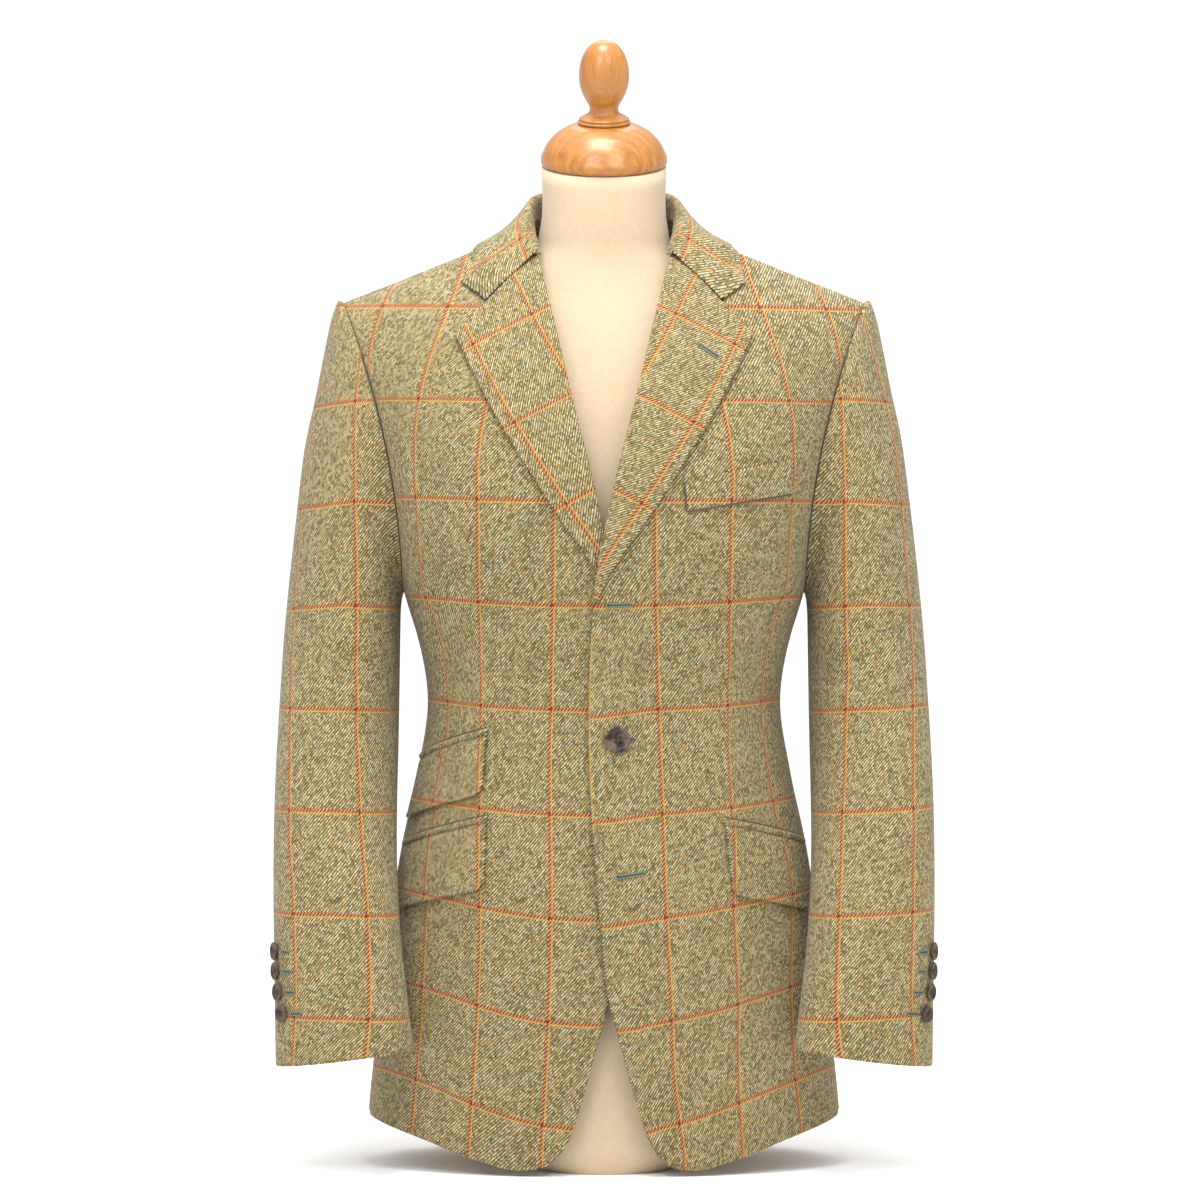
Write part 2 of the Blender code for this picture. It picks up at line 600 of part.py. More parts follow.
def collar_grid():
    """Half of the collar from the centre of the back: up the stand, over the fold, down the fall."""
    table = np.array(COLLAR)
    knots = np.arange(len(table), dtype=float)
    corner = len(table) - 2
    places = np.linspace(0.0, len(table) - 1.0, (len(table) - 1) * COLLAR_STEPS_PER_ROW + 1)
    rows = np.stack([smooth(knots[:-1], values[:-1], places) for values in table.T], axis=-1)
    past = np.maximum(places - corner, 0.0)[:, None]
    rows = np.where(past > 0, table[corner] + past * (table[corner + 1] - table[corner]), rows)
    seam, fold, fall = rows[:, None, 0:3], rows[:, None, 3:6], rows[:, None, 6:9]
    bulge = rows[:, None, 9:10]
    rise = np.linspace(0.0, COLLAR_STAND_SHARE, COLLAR_STAND_STEPS)[:, None]
    stand = seam + (fold - seam) * rise
    crown = fold + np.array([0.0, 0.0, COLLAR_CROWN])
    share = np.linspace(COLLAR_FALL_START, 1.0, COLLAR_FALL_STEPS)[:, None]
    leaf = fold + (fall - fold) * share
    leaf = clear_of_chest(leaf + bulge * np.sin(math.pi * share) * wall_direction(leaf))
    return np.concatenate([stand, crown, leaf], axis=1)


def add_collar(name):
    """The collar: both halves in one piece round the neck."""
    half = collar_grid()
    inner = half - COLLAR_WALL * grid_directions(half, False)
    flip = np.array([-1.0, 1.0, 1.0])
    outer = np.concatenate([(half * flip)[:0:-1], half])
    inside = np.concatenate([(inner * flip)[:0:-1], inner])
    centre = len(half) - 1
    inside[centre, :, 0] = 0.0
    return add_wall(name, outer, inside, "tweed")


def flap_grid(flap, drop_from, drop_to):
    """Points on the front's skirt between two drops below a pocket's mouth."""
    near_angle = angle_at(flap["front_x"], flap["top_front"])
    span = flap["far_angle"] - near_angle
    across, share = np.meshgrid(np.linspace(0.0, 1.0, FLAP_COLUMNS_ACROSS + 1),
                                np.linspace(0.0, 1.0, FLAP_ROWS + 1))
    drop = drop_from + share * (drop_to - drop_from)
    lean = flap["slant"] * (drop / flap["drop"]) * (1 - across) / SKIRT_RADIUS
    height = flap["top_front"] + across * (flap["top_far"] - flap["top_front"]) - drop
    from_front = np.minimum(across * span * SKIRT_RADIUS, FLAP_CORNER)
    corner = FLAP_CORNER - np.sqrt(FLAP_CORNER ** 2 - (FLAP_CORNER - from_front) ** 2)
    height += share ** 4 * corner * (FLAP_CORNER_SHARE if drop_to > 0 else 0.0)
    return section_point(near_angle + across * span + lean, height)


def add_on_front(name, grid, wall, clear, lift, side):
    """A piece lying on a front: the front's own points moved out."""
    rise = np.linspace(0.0, 1.0, len(grid))[:, None, None] * lift
    out = wall_direction(grid)
    inner = grid + (clear + rise) * out
    outer = grid + (clear + wall + rise) * out
    return add_wall(name, sided(outer, side), sided(inner, side), "tweed")


def add_pockets():
    """Flaps with the welt above each, and the breast welt."""
    for row in FLAPS:
        flap = dict(zip(FLAP_COLUMNS, row))
        leaf = flap_grid(flap, SEAM_GAP, flap["drop"])
        add_on_front("flap_" + flap["name"], leaf, FLAP_WALL, FLAP_CLEAR, FLAP_LIFT, flap["side"])
        welt = flap_grid(flap, -WELT_HEIGHT, 0.0)
        add_on_front("welt_" + flap["name"], welt, WELT_WALL, FLAP_CLEAR, 0.0, flap["side"])
    across, up = np.meshgrid(np.linspace(0.0, 1.0, BREAST_COLUMNS + 1),
                             np.linspace(0.0, 1.0, BREAST_ROWS + 1))
    low = BREAST_LOWER[0] + across[..., None] * (BREAST_LOWER[1] - BREAST_LOWER[0])
    high = BREAST_UPPER[0] + across[..., None] * (BREAST_UPPER[1] - BREAST_UPPER[0])
    place = low + up[..., None] * (high - low)
    breast = chest_point(place[..., 0], place[..., 1])
    add_on_front("welt_breast", breast, BREAST_WALL, BREAST_CLEAR, 0.0, 1)


def add_turned(name, profile, sides, middle, axis, finish_name):
    """A turned solid: a profile from the axis at its top, down its outside, to a flat foot."""
    helper = np.array([0.0, 0.0, 1.0]) if abs(axis[2]) < 0.9 else np.array([0.0, 1.0, 0.0])
    first = unit(np.cross(helper, axis))
    second = np.cross(axis, first)
    turns = np.arange(sides) / sides * 2 * math.pi
    spokes = np.cos(turns)[:, None] * first + np.sin(turns)[:, None] * second
    points = [middle + profile[0][1] * axis]
    for radius, height in profile[1:]:
        points.extend(middle + height * axis + radius * spokes)
    faces = [(0, 1 + item, 1 + (item + 1) % sides) for item in range(sides)]
    for ring in range(len(profile) - 2):
        start = 1 + ring * sides
        for item in range(sides):
            following = (item + 1) % sides
            faces.append((start + item, start + sides + item, start + sides + following, start + following))
    last = 1 + (len(profile) - 2) * sides
    faces.append(tuple(last + item for item in range(sides)))
    return add_solid(name, points, faces, finish_name)


def add_button(name, radius, seat, axis):
    """A dished button standing just clear of the cloth."""
    profile = [(share * radius, height * radius / FRONT_BUTTON_RADIUS) for share, height in BUTTON_PROFILE]
    return add_turned(name, profile, BUTTON_SIDES, seat, axis, "horn")


def add_buttons():
    """The fastened front button and four on each cuff."""
    spot = lapped(section_point(angle_at(FRONT_BUTTON_X, FRONT_BUTTON_Z), np.array(FRONT_BUTTON_Z)))
    out = wall_direction(spot)
    add_button("button_front", FRONT_BUTTON_RADIUS, spot + BUTTON_CLEAR * out, out)
    grid = sleeve_grid(CUFF_SEARCH_STEPS)
    for number, (height, turn) in enumerate(CUFF_BUTTONS, start=1):
        row = int(np.argmin(np.abs(grid[:, 0, 2] - height)))
        middle = grid[row].mean(axis=0)
        half = grid[row, 0] - middle
        deep = middle[1] - grid[row, :, 1].min()
        spot = middle + half * math.cos(turn) - np.array([0.0, deep * math.sin(turn), 0.0])
        out = unit(np.array([math.cos(turn) * deep, -math.sin(turn) * half[0], 0.0]))
        seat = spot + BUTTON_CLEAR * out
        for side, label in ((1, "left"), (-1, "right")):
            mirror = np.array([side, 1.0, 1.0])
            add_button(f"button_cuff_{label}_{number}", CUFF_BUTTON_RADIUS, seat * mirror, out * mirror)


def neck_place(points):
    """The form's neck bent forward: its top falls to the front."""
    moved = points.copy()
    share = ease(points[..., 2], NECK_TILT_FROM, NECK_TILT_FULL)
    moved[..., 2] += NECK_TILT * share * points[..., 1]
    moved[..., 1] += NECK_LEAN * share
    return moved


def add_form():
    """The dress form's body with its neck, then the wooden cap and finial."""
    angles = np.arange(FORM_SIDES) / FORM_SIDES * 2 * math.pi
    heights = column(FORM, SECTION_COLUMNS, "height")
    rings = neck_place(section_point(*np.meshgrid(angles, heights), FORM))
    rows = len(rings)
    points = rings.reshape(-1, 3)
    faces = []
    for row in range(rows - 1):
        for item in range(FORM_SIDES):
            following = (item + 1) % FORM_SIDES
            a, b = row * FORM_SIDES + item, row * FORM_SIDES + following
            faces.append((a, b, b + FORM_SIDES, a + FORM_SIDES))
    faces.append(tuple(range(FORM_SIDES)))
    faces.append(tuple((rows - 1) * FORM_SIDES + item for item in range(FORM_SIDES)))
    add_solid("form_body", points, faces, "jersey")
    axis = unit(np.array([0.0, -NECK_TILT, 1.0]))
    seat = np.array([0.0, NECK_LEAN, FORM[-1][0]]) + SEAM_GAP * axis
    add_turned("form_cap", CAP_PROFILE, TURNED_SIDES, seat, axis, "beech")
    top = seat + (CAP_PROFILE[0][1] + SEAM_GAP) * axis
    add_turned("form_finial", FINIAL_PROFILE, TURNED_SIDES, top, axis, "beech")


def build():
    """Clears the scene and makes every piece."""
    for thing in list(bpy.data.objects):
        bpy.data.objects.remove(thing, do_unlink=True)
    for side, label in ((1, "left"), (-1, "right")):
        add_panel(f"front_{label}", front_grid(0.0 if side > 0 else RIGHT_EXTRA), side)
        back = back_grid()
        mirror = np.array([side, 1.0, 1.0])
        inner = back - CLOTH * wall_direction(back)
        inner[:, 0, 0] = back[:, 0, 0]
        add_wall(f"back_{label}", back * mirror, inner * mirror, "tweed")
        add_sleeve(f"sleeve_{label}", side)
        add_lapel(f"lapel_{label}", side)
    add_collar("collar")
    add_pockets()
    add_buttons()
    add_form()


build()
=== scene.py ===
"""The tweed jacket on its dress form: fine cloth, weave, stitching, buttons, wood and a plain studio."""

import bmesh
import bpy
import math
import numpy as np
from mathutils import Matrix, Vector


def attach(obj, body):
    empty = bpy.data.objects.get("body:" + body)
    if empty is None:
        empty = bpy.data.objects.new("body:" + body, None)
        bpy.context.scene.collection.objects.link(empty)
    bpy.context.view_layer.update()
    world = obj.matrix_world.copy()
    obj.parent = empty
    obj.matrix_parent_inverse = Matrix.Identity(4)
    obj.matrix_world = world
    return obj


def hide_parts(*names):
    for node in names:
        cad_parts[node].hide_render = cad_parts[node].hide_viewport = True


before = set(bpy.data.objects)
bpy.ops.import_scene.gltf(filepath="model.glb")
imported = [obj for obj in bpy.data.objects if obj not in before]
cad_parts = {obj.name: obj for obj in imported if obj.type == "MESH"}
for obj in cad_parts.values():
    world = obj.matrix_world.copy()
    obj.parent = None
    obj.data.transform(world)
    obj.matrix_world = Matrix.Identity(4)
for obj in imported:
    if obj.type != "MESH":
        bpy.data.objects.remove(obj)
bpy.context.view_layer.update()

# Sizes in millimetres, the same as the solids'; MM turns them into metres.
MM = 0.001
CLOTH = 2.2
SEAM_GAP = 0.12
FULLNESS = 2.3
BREAK_Z, ARMPIT_Z = 478.0, 488.0
BREAK_X = -8.3
LAP, LAP_FULL_X, LAP_END_X = 6.6, 16.0, 70.0
LAP_FROM_DEPTH, LAP_FULL_DEPTH = 30.0, 110.0
SHOULDER_NECK = np.array([66.0, -6.0, 800.0])
SHOULDER_TIP = np.array([224.0, 4.0, 737.0])
CHEST_SWELL, BACK_SWELL = 9.0, 5.0
BACK_HEM_Z = 43.0
RIGHT_EXTRA = 8.0
BACK_NECK_SHARE = 0.3

SECTION_COLUMNS = ("height", "half_width", "front", "back")
SECTIONS = (
    (0, 205, 121, 126),
    (40, 203, 122, 125),
    (110, 196, 124, 123),
    (190, 186, 125, 120),
    (275, 173, 123, 113),
    (335, 160, 119, 105),
    (398, 151.5, 117, 99),
    (450, 160, 125, 108),
    (488, 172, 132, 117),
    (520, 180, 135, 120),
)

FRONT_EDGE_COLUMNS = ("height", "past_centre")
FRONT_EDGE = (
    (32, -37),
    (60, -28),
    (100, -17.5),
    (150, -4.5),
    (200, 1),
    (280, 8),
    (366, 12),
    (430, 11),
    (478, 8.3),
)

FRONT_HEM_COLUMNS = ("across", "height")
FRONT_HEM = (
    (37, 32),
    (45, 19),
    (56, 9.5),
    (72, 6),
    (110, 13.5),
    (155, 29),
    (203, 43),
)

ROLL_COLUMNS = ("height", "across", "depth")
ROLL_LINE = (
    (478, -8.3, -130.5),
    (510, -2.8, -134.5),
    (580, 11, -136),
    (650, 28.5, -122),
    (720, 45, -92),
    (765, 56.5, -58),
    (800, 66, -6),
)

BACK_SEAM_COLUMNS = ("height", "depth")
BACK_SEAM = (
    (488, 117),
    (560, 124),
    (640, 124),
    (710, 108),
    (760, 86),
    (797, 62),
)

RING_COLUMNS = ("outer_x", "outer_z", "inner_x", "inner_z", "middle_y", "half_depth", "hollow")
RINGS = (
    (224, 737, 172, 488, 4, 67, 13),
    (228.5, 738, 173.2, 485, 4, 68.5, 9),
    (234, 724, 174, 481, 4, 70, 5.5),
    (239.5, 699, 174.6, 476, 4, 71.5, 3),
    (246.5, 663, 175, 468, 3, 72.5, 1),
    (255.5, 618, 175.2, 455, 2, 73, 0),
    (263, 563, 175.4, 438, 0, 72, 0),
    (269.5, 505, 175.6, 415, -3, 70, 0),
    (274.5, 450, 175.8, 388, -8, 67.5, 0),
    (277.5, 395, 176, 355, -19, 64, 0),
    (279.5, 342, 176.2, 317, -36, 60, 0),
    (280, 290, 175.8, 276, -56, 55.5, 0),
    (279, 238, 173.8, 234, -77, 50.5, 0),
    (277.5, 187, 170, 190, -93, 45.5, 0),
    (276, 138, 164.5, 147, -104, 41, 0),
    (275, 94, 159.5, 108, -111, 38, 0),
)

# Each row of the collar: its seam, its fold and the edge of its fall, each as x, y, z, then the fall's bulge.
COLLAR = (
    (0, 58.5, 806, 0, 62, 838, 0, 86, 790, 3),
    (31, 51.5, 806, 33, 54, 837.5, 54, 79, 791, 2.5),
    (53, 31, 807, 56, 31, 833, 88, 51, 793, -1),
    (60.5, 4, 806.5, 63.5, 2, 821, 105, 8, 788, -4),
    (60, -21, 795, 64, -24, 804, 113, -24, 774, 0),
    (57, -40, 784, 60.5, -44, 787.5, 116, -52, 746.5, 2),
    (54.5, -49.5, 775, 58, -54, 776.8, 97, -73, 731.9, 2.5),
)
COLLAR_WALL, COLLAR_CLEAR, COLLAR_CROWN = 2.0, 0.9, 1.2

LAPEL_ROLL_BOTTOM_Z, LAPEL_ROLL_TOP_Z = 482.0, 773.2
LAPEL_EDGE_COLUMNS = ("share", "across", "height")
LAPEL_EDGE = (
    (0, -5, 481),
    (0.06, -1, 494.5),
    (0.13, 6.5, 508),
    (0.2, 16, 523),
    (0.31, 32, 546),
    (0.55, 62.5, 594),
    (0.8, 95.5, 650),
    (1, 122, 703.5),
)
LAPEL_WALL, LAPEL_CLEAR = 2.0, 0.9
LAPEL_ROLL_LIFT, LAPEL_WRAP, LAPEL_EDGE_LIFT = 1.5, 2.9, 1.9

FLAP_COLUMNS = ("name", "side", "front_x", "top_front", "far_angle", "top_far", "drop", "slant")
FLAPS = (
    ("left", 1, 101.5, 294, 1.33, 274, 58, -1),
    ("right", -1, 98.5, 296, 1.33, 272, 55, -5.4),
    ("ticket", -1, 98.5, 369, 1.36, 346, 49, -3.5),
)
FLAP_WALL, FLAP_CLEAR, FLAP_LIFT, FLAP_CORNER = 2.2, 0.6, 1.4, 9.0
SKIRT_RADIUS = 170.0
WELT_HEIGHT, WELT_ROLL, WELT_SINK, WELT_ROWS = 6.0, 3.0, 1.9, 14
# Painted shade in the seams round the welts and armholes: near-black tubes, their rise off the cloth and
# radius, and the armhole turns they run between.
FLAP_SEAM_SHADE_RISE, BREAST_SEAM_SHADE_RISE, SEAM_SHADE_RADIUS = 1.3, 2.1, 0.7
ARMHOLE_SEAM_SHADE_TURNS = (0.9, 2.7)
BREAST_LOWER = np.array([(68.0, 556.0), (157.0, 571.0)])
BREAST_UPPER = np.array([(66.0, 581.0), (157.0, 599.0)])
BREAST_WALL, BREAST_CLEAR = 1.6, 0.5

# The windowpane check: its repeat and where its lines fall.
CHECK_ACROSS, CHECK_UP = 65.0, 87.5
CHECK_Z = 478.0
FRONT_LINE_X = 42.5
EDGE_LINE = 1.6
EDGE_LINE_UP = (240.0, 300.0)       # heights between which a line starts to follow the front edge
POCKET_EDGE = -12.0                 # where the front edge lies at the height of the pockets
CHECK_EVEN = {1: 0.65, -1: 0.40}    # how evenly the level lines of each front rise to the side
EVEN_RISE_FROM, EVEN_RISE_RUN, SOFT_RISE_ACROSS = 15.0, 195.0, (30.0, 210.0)
SIDE_RISE, HEM_RISE, HEM_RISE_TOP = 6.75, 0.1425, 340.0    # how far they rise, more near the hem
BACK_MATCH = 130.0                  # how far from the side seam the back's lines follow the front's
CHEST_LEVEL = {1: 1.0, -1: 0.5}     # how level the lines lie again on each side of the chest
CHEST_RISE_ACROSS, CHEST_LEVEL_UP = (40.0, 190.0), (490.0, 560.0)
CHEST_LIFT, CHEST_LIFT_UP = 11.0, (600.0, 725.0)           # how much closer they lie on the chest
CHEST_SPREAD, CHEST_SPREAD_UP = 50.0, (600.0, 800.0)       # how far upright lines near the roll line there
EDGE_DIP = 5.5                      # how far level lines dip at the left front's edge
EDGE_DIP_ACROSS, EDGE_DIP_UP = (-22.0, 40.0), (430.0, 474.0)
CHECK_LINE_COLUMNS = ("height", "first", "second", "third")
CHECK_LINES = {
    1: ((20, 67, 116, 168), (75, 59.4, 112.8, 162), (155, 55.3, 112.5, 157),
        (224, 51.5, 108.8, 157.6), (304, 48.8, 107.5, 144.5), (349, 47, 104.9, 137),
        (391, 45.5, 104.6, 133), (432, 44, 105, 136), (488, 42.5, 106, 150)),
    -1: ((20, 53, 114, 164), (117, 47.5, 108, 155), (205, 45, 105, 150.3),
         (250, 45, 104.8, 148), (303, 45.5, 104.6, 143), (349, 46, 104, 135),
         (391, 44.7, 103.7, 132), (432, 43.8, 103.7, 134.4), (488, 42.5, 106, 150)),
}
# Upright line on the front of each sleeve: height, then its turn from the outer edge in degrees.
SLEEVE_LINE_COLUMNS = ("height", "turn")
SLEEVE_LINES = {
    1: ((90, 119), (130, 125), (217, 126), (349, 122), (416, 116.6), (477, 114.3),
        (565, 111.2), (612, 110), (652, 109), (690, 114.6), (740, 118)),
    -1: ((90, 117), (130, 122), (217, 123.7), (303, 117.8), (416, 110.3), (476, 107),
         (515, 105), (565, 100.8), (612, 96.9), (652, 92.6), (690, 94), (740, 95)),
}
SLEEVE_LINE_STEP = 73.0             # degrees between two of them
SLEEVE_DROPS = {1: (-2.5, 3.0), -1: (0.0, 7.0)}     # fall of a level line at the outer edge, low and high
SLEEVE_DROP_UP, SLEEVE_INNER_DROP = (360.0, 560.0), 3.0
SLEEVE_CLOSER, SLEEVE_CLOSER_TOP = 0.03, 391.0      # level lines lie closer together below the elbow
LAPEL_LINE, LAPEL_REPEAT, LAPEL_FIRST_LINE = 11.0, 80.0, 17.0
UV_SCALE = 100.0                    # millimetres of cloth in one unit of the cloth map
NARROWEST_CUT = 0.0105


# Tables and curves

def column(table, names, name):
    """One named column of a table, as an array."""
    return np.array([row[names.index(name)] for row in table], dtype=float)


def smooth(knots, values, at):
    """A smooth curve through (knots, values), read at the given places."""
    slopes = np.gradient(values, knots)
    at = np.clip(at, knots[0], knots[-1])
    cell = np.clip(np.searchsorted(knots, at, side="right") - 1, 0, len(knots) - 2)
    width = knots[cell + 1] - knots[cell]
    t = (at - knots[cell]) / width
    start = (1 + 2 * t) * (1 - t) ** 2 * values[cell] + t * (1 - t) ** 2 * width * slopes[cell]
    end = t * t * (3 - 2 * t) * values[cell + 1] + t * t * (t - 1) * width * slopes[cell + 1]
    return start + end


def read(table, names, key, name, at):
    """The named column of a table as a smooth function of its key column."""
    return smooth(column(table, names, key), column(table, names, name), np.asarray(at, dtype=float))


def ease(value, low, high):
    """Goes softly from 0 at low to 1 at high."""
    t = np.clip((value - low) / (high - low), 0.0, 1.0)
    return t * t * (3 - 2 * t)


def unit(vectors):
    """Vectors brought to length 1."""
    return vectors / np.maximum(np.linalg.norm(vectors, axis=-1, keepdims=True), 1e-9)


def run_length(points, axis):
    """Distance walked along one axis of a grid of points."""
    steps = np.linalg.norm(np.diff(points, axis=axis), axis=-1)
    walked = np.cumsum(steps, axis=axis)
    start = np.zeros_like(np.take(walked, [0], axis=axis))
    return np.concatenate([start, walked], axis=axis)


# The surface of the jacket body

SHOULDER_TURN, SHOULDER_TURN_UP = 1.05, (600.0, 790.0)     # how far the way out turns up there
CHEST_SWELL_SKEW = 0.8
GIRTH_STEPS, CHEST_STEPS = 61, 41
SEARCH_STEP, SEARCH_PASSES, SEARCH_LOW, SEARCH_HIGH = 1e-4, 14, 0.001, 0.998


def section_point(angle, height, table=SECTIONS):
    """A point of a horizontal section; angle 0 is the centre front and pi the centre back."""
    half, front, back = (read(table, SECTION_COLUMNS, "height", name, height)
                         for name in ("half_width", "front", "back"))
    across, along = np.sin(angle), np.cos(angle)
    x = half * np.sign(across) * np.abs(across) ** (2 / FULLNESS)
    depth = np.where(along > 0, front, back)
    y = -depth * np.sign(along) * np.abs(along) ** (2 / FULLNESS)
    return np.stack([x, y, height + 0 * x], axis=-1)


def angle_at(x, height):
    """The angle of the front point of a section at distance x from the centre line."""
    half = read(SECTIONS, SECTION_COLUMNS, "height", "half_width", height)
    share = np.clip(np.abs(x) / half, 0.0, 1.0)
    return np.sign(x) * np.arcsin(share ** (FULLNESS / 2))


def girth(angle, height, start=0.0):
    """Distance round a section from one angle to another, signed."""
    shares = np.linspace(0.0, 1.0, GIRTH_STEPS).reshape((-1,) + (1,) * np.ndim(angle))
    walk = section_point(start + shares * (angle - start), height + 0 * shares)
    return np.sign(angle - start) * run_length(walk, 0)[-1]


def armhole_point(turn, front_side):
    """A point of the armhole; turn 0 is the shoulder tip and pi the lowest point."""
    outer_x, outer_z, inner_x, inner_z, middle_y, half_depth, hollow = RINGS[0]
    reach, bow = np.cos(turn), np.sin(turn)
    side = -1.0 if front_side else 1.0
    x = (outer_x + inner_x) / 2 + reach * (outer_x - inner_x) / 2 - hollow * bow ** 2
    y = middle_y * (1 + reach) / 2 + side * half_depth * bow
    z = (outer_z + inner_z) / 2 + reach * (outer_z - inner_z) / 2
    return np.stack([x, y, z], axis=-1)


def wall_direction(points):
    """The way out of the body at each point, which depends on the place alone."""
    x, y, z = points[..., 0], points[..., 1], points[..., 2]
    height = np.minimum(z, SECTIONS[-1][0])
    half = read(SECTIONS, SECTION_COLUMNS, "height", "half_width", height)
    deep = read(SECTIONS, SECTION_COLUMNS, "height", "front", height)
    up = SHOULDER_TURN * ease(z, *SHOULDER_TURN_UP)
    return unit(np.stack([x / half, (y / deep) * half / deep, up], axis=-1))


def patch(bottom, top, left, right, across, up):
    """A smooth four-sided patch, read at shares across and up; its sides are functions of a share."""
    u, v = across[..., None], up[..., None]
    none, full = np.zeros_like(across), np.ones_like(across)
    corners = ((1 - u) * (1 - v) * bottom(none) + u * (1 - v) * bottom(full)
               + (1 - u) * v * top(none) + u * v * top(full))
    return (1 - v) * bottom(across) + v * top(across) + (1 - u) * left(up) + u * right(up) - corners


def chest(across, up):
    """The chest of the wearer's left front, from the break to the shoulder seam."""
    edge_angle = angle_at(BREAK_X, BREAK_Z)

    def bottom(share):
        return section_point(edge_angle + share * (math.pi / 2 - edge_angle),
                             BREAK_Z + share * (ARMPIT_Z - BREAK_Z))

    def top(share):
        return SHOULDER_NECK + share[..., None] * (SHOULDER_TIP - SHOULDER_NECK)

    def left(share):
        height = BREAK_Z + share * (SHOULDER_NECK[2] - BREAK_Z)
        return np.stack([read(ROLL_LINE, ROLL_COLUMNS, "height", "across", height),
                         read(ROLL_LINE, ROLL_COLUMNS, "height", "depth", height), height], axis=-1)

    def right(share):
        return armhole_point(math.pi * (1 - share), True)

    points = patch(bottom, top, left, right, across, up)
    points[..., 1] -= CHEST_SWELL * np.sin(math.pi * across) * np.sin(math.pi * up ** CHEST_SWELL_SKEW)
    return points


def chest_shares(x, height):
    """Shares across and up of the chest points at distance x and height."""
    x, height = np.broadcast_arrays(np.asarray(x, dtype=float), np.asarray(height, dtype=float))
    across, up = np.full(x.shape, 0.5), np.full(x.shape, 0.5)
    for _ in range(SEARCH_PASSES):
        here = chest(across, up)
        along = (chest(across + SEARCH_STEP, up) - here) / SEARCH_STEP
        above = (chest(across, up + SEARCH_STEP) - here) / SEARCH_STEP
        miss_x, miss_z = x - here[..., 0], height - here[..., 2]
        size = along[..., 0] * above[..., 2] - above[..., 0] * along[..., 2]
        more_across = (miss_x * above[..., 2] - miss_z * above[..., 0]) / size
        more_up = (miss_z * along[..., 0] - miss_x * along[..., 2]) / size
        across = np.clip(across + more_across, SEARCH_LOW, SEARCH_HIGH)
        up = np.clip(up + more_up, SEARCH_LOW, SEARCH_HIGH)
    return across, up


def chest_point(x, height):
    """The chest points at distance x and height."""
    return chest(*chest_shares(x, height))


def lapped(points):
    """The wearer's left front brought forward where it lies over the right one."""
    moved = points.copy()
    near_centre = 1 - ease(np.abs(points[..., 0]), LAP_FULL_X, LAP_END_X)
    moved[..., 1] -= LAP * near_centre * ease(-points[..., 1], LAP_FROM_DEPTH, LAP_FULL_DEPTH)
    return moved


# Soft creases: ends across and up, height of the ridge (a trough is negative), width.

CREASE_COLUMNS = ("side", "x0", "z0", "x1", "z1", "rise", "width")
FRONT_CREASES = (
    (1, 20, 374, 92, 404, -1.1, 10),
    (1, 26, 358, 70, 336, -0.8, 9),
    (1, 74, 420, 128, 452, 0.9, 13),
    (1, 64, 236, 84, 66, 1.6, 24),
    (1, 124, 218, 140, 60, -1.8, 21),
    (1, 166, 200, 184, 70, 1.4, 17),
    (1, 158, 622, 130, 566, -1.7, 12),
    (1, 146, 560, 120, 512, 1, 15),
    (1, 176, 690, 160, 640, -1.2, 13),
    (-1, 18, 380, 78, 398, -0.9, 9),
    (-1, 22, 352, 86, 322, -1, 11),
    (-1, 82, 428, 132, 446, 0.8, 12),
    (-1, 58, 226, 72, 50, 1.3, 22),
    (-1, 112, 216, 132, 72, -1.6, 23),
    (-1, 160, 206, 176, 56, 1.7, 19),
    (-1, 160, 612, 126, 548, -1.5, 13),
    (-1, 150, 544, 118, 506, 0.9, 14),
    (-1, 178, 684, 166, 642, -1, 12),
)
BACK_CREASES = (
    (1, 20, 470, 96, 446, -1.6, 14),
    (1, 26, 410, 104, 388, 1.2, 15),
    (1, 44, 260, 58, 70, 2, 26),
    (1, 108, 250, 126, 64, -2.2, 24),
    (1, 132, 640, 150, 540, -2.4, 18),
    (1, 60, 690, 120, 660, 1, 20),
    (-1, 22, 462, 84, 430, -1.3, 13),
    (-1, 20, 396, 92, 380, 1, 16),
    (-1, 52, 246, 64, 60, 1.7, 23),
    (-1, 114, 236, 138, 80, -1.9, 26),
    (-1, 136, 650, 146, 556, -2, 16),
    (-1, 54, 702, 126, 676, 0.8, 18),
)
# On a sleeve the first number of an end is the turn from its outer edge, in degrees, towards the front.
SLEEVE_CREASES = (
    (1, 66, 452, 128, 412, -2.4, 15),
    (1, 52, 398, 112, 372, -1.9, 12),
    (1, 74, 360, 132, 326, -2.1, 14),
    (1, 40, 300, 96, 262, 1.3, 17),
    (1, 18, 640, 44, 560, 1.2, 20),
    (1, 84, 600, 120, 540, -1.6, 17),
    (1, 212, 470, 268, 436, -2, 16),
    (1, 224, 388, 282, 352, 1.8, 18),
    (1, 236, 318, 292, 292, -1.7, 14),
    (1, 246, 600, 300, 560, -1.4, 20),
    (-1, 58, 446, 122, 420, -2.1, 14),
    (-1, 62, 402, 124, 364, -2.3, 13),
    (-1, 48, 346, 104, 330, -1.6, 12),
    (-1, 36, 288, 88, 246, 1.4, 19),
    (-1, 14, 628, 40, 540, 1.3, 22),
    (-1, 88, 590, 116, 520, -1.5, 16),
    (-1, 216, 462, 276, 420, -2.2, 17),
    (-1, 228, 396, 276, 366, 1.5, 15),
    (-1, 240, 330, 286, 296, -1.9, 16),
    (-1, 250, 610, 306, 580, -1.2, 18),
)
SLEEVE_MM_PER_DEGREE = 1.05
CREASE_START, CREASE_END = (-0.25, 0.3), (0.6, 1.3)        # shares of its run where a crease comes and goes
FRONT_CREASE_Y, BACK_CREASE_Y = (0.0, 40.0), (0.0, 50.0)   # depths over which they fade to the side seam


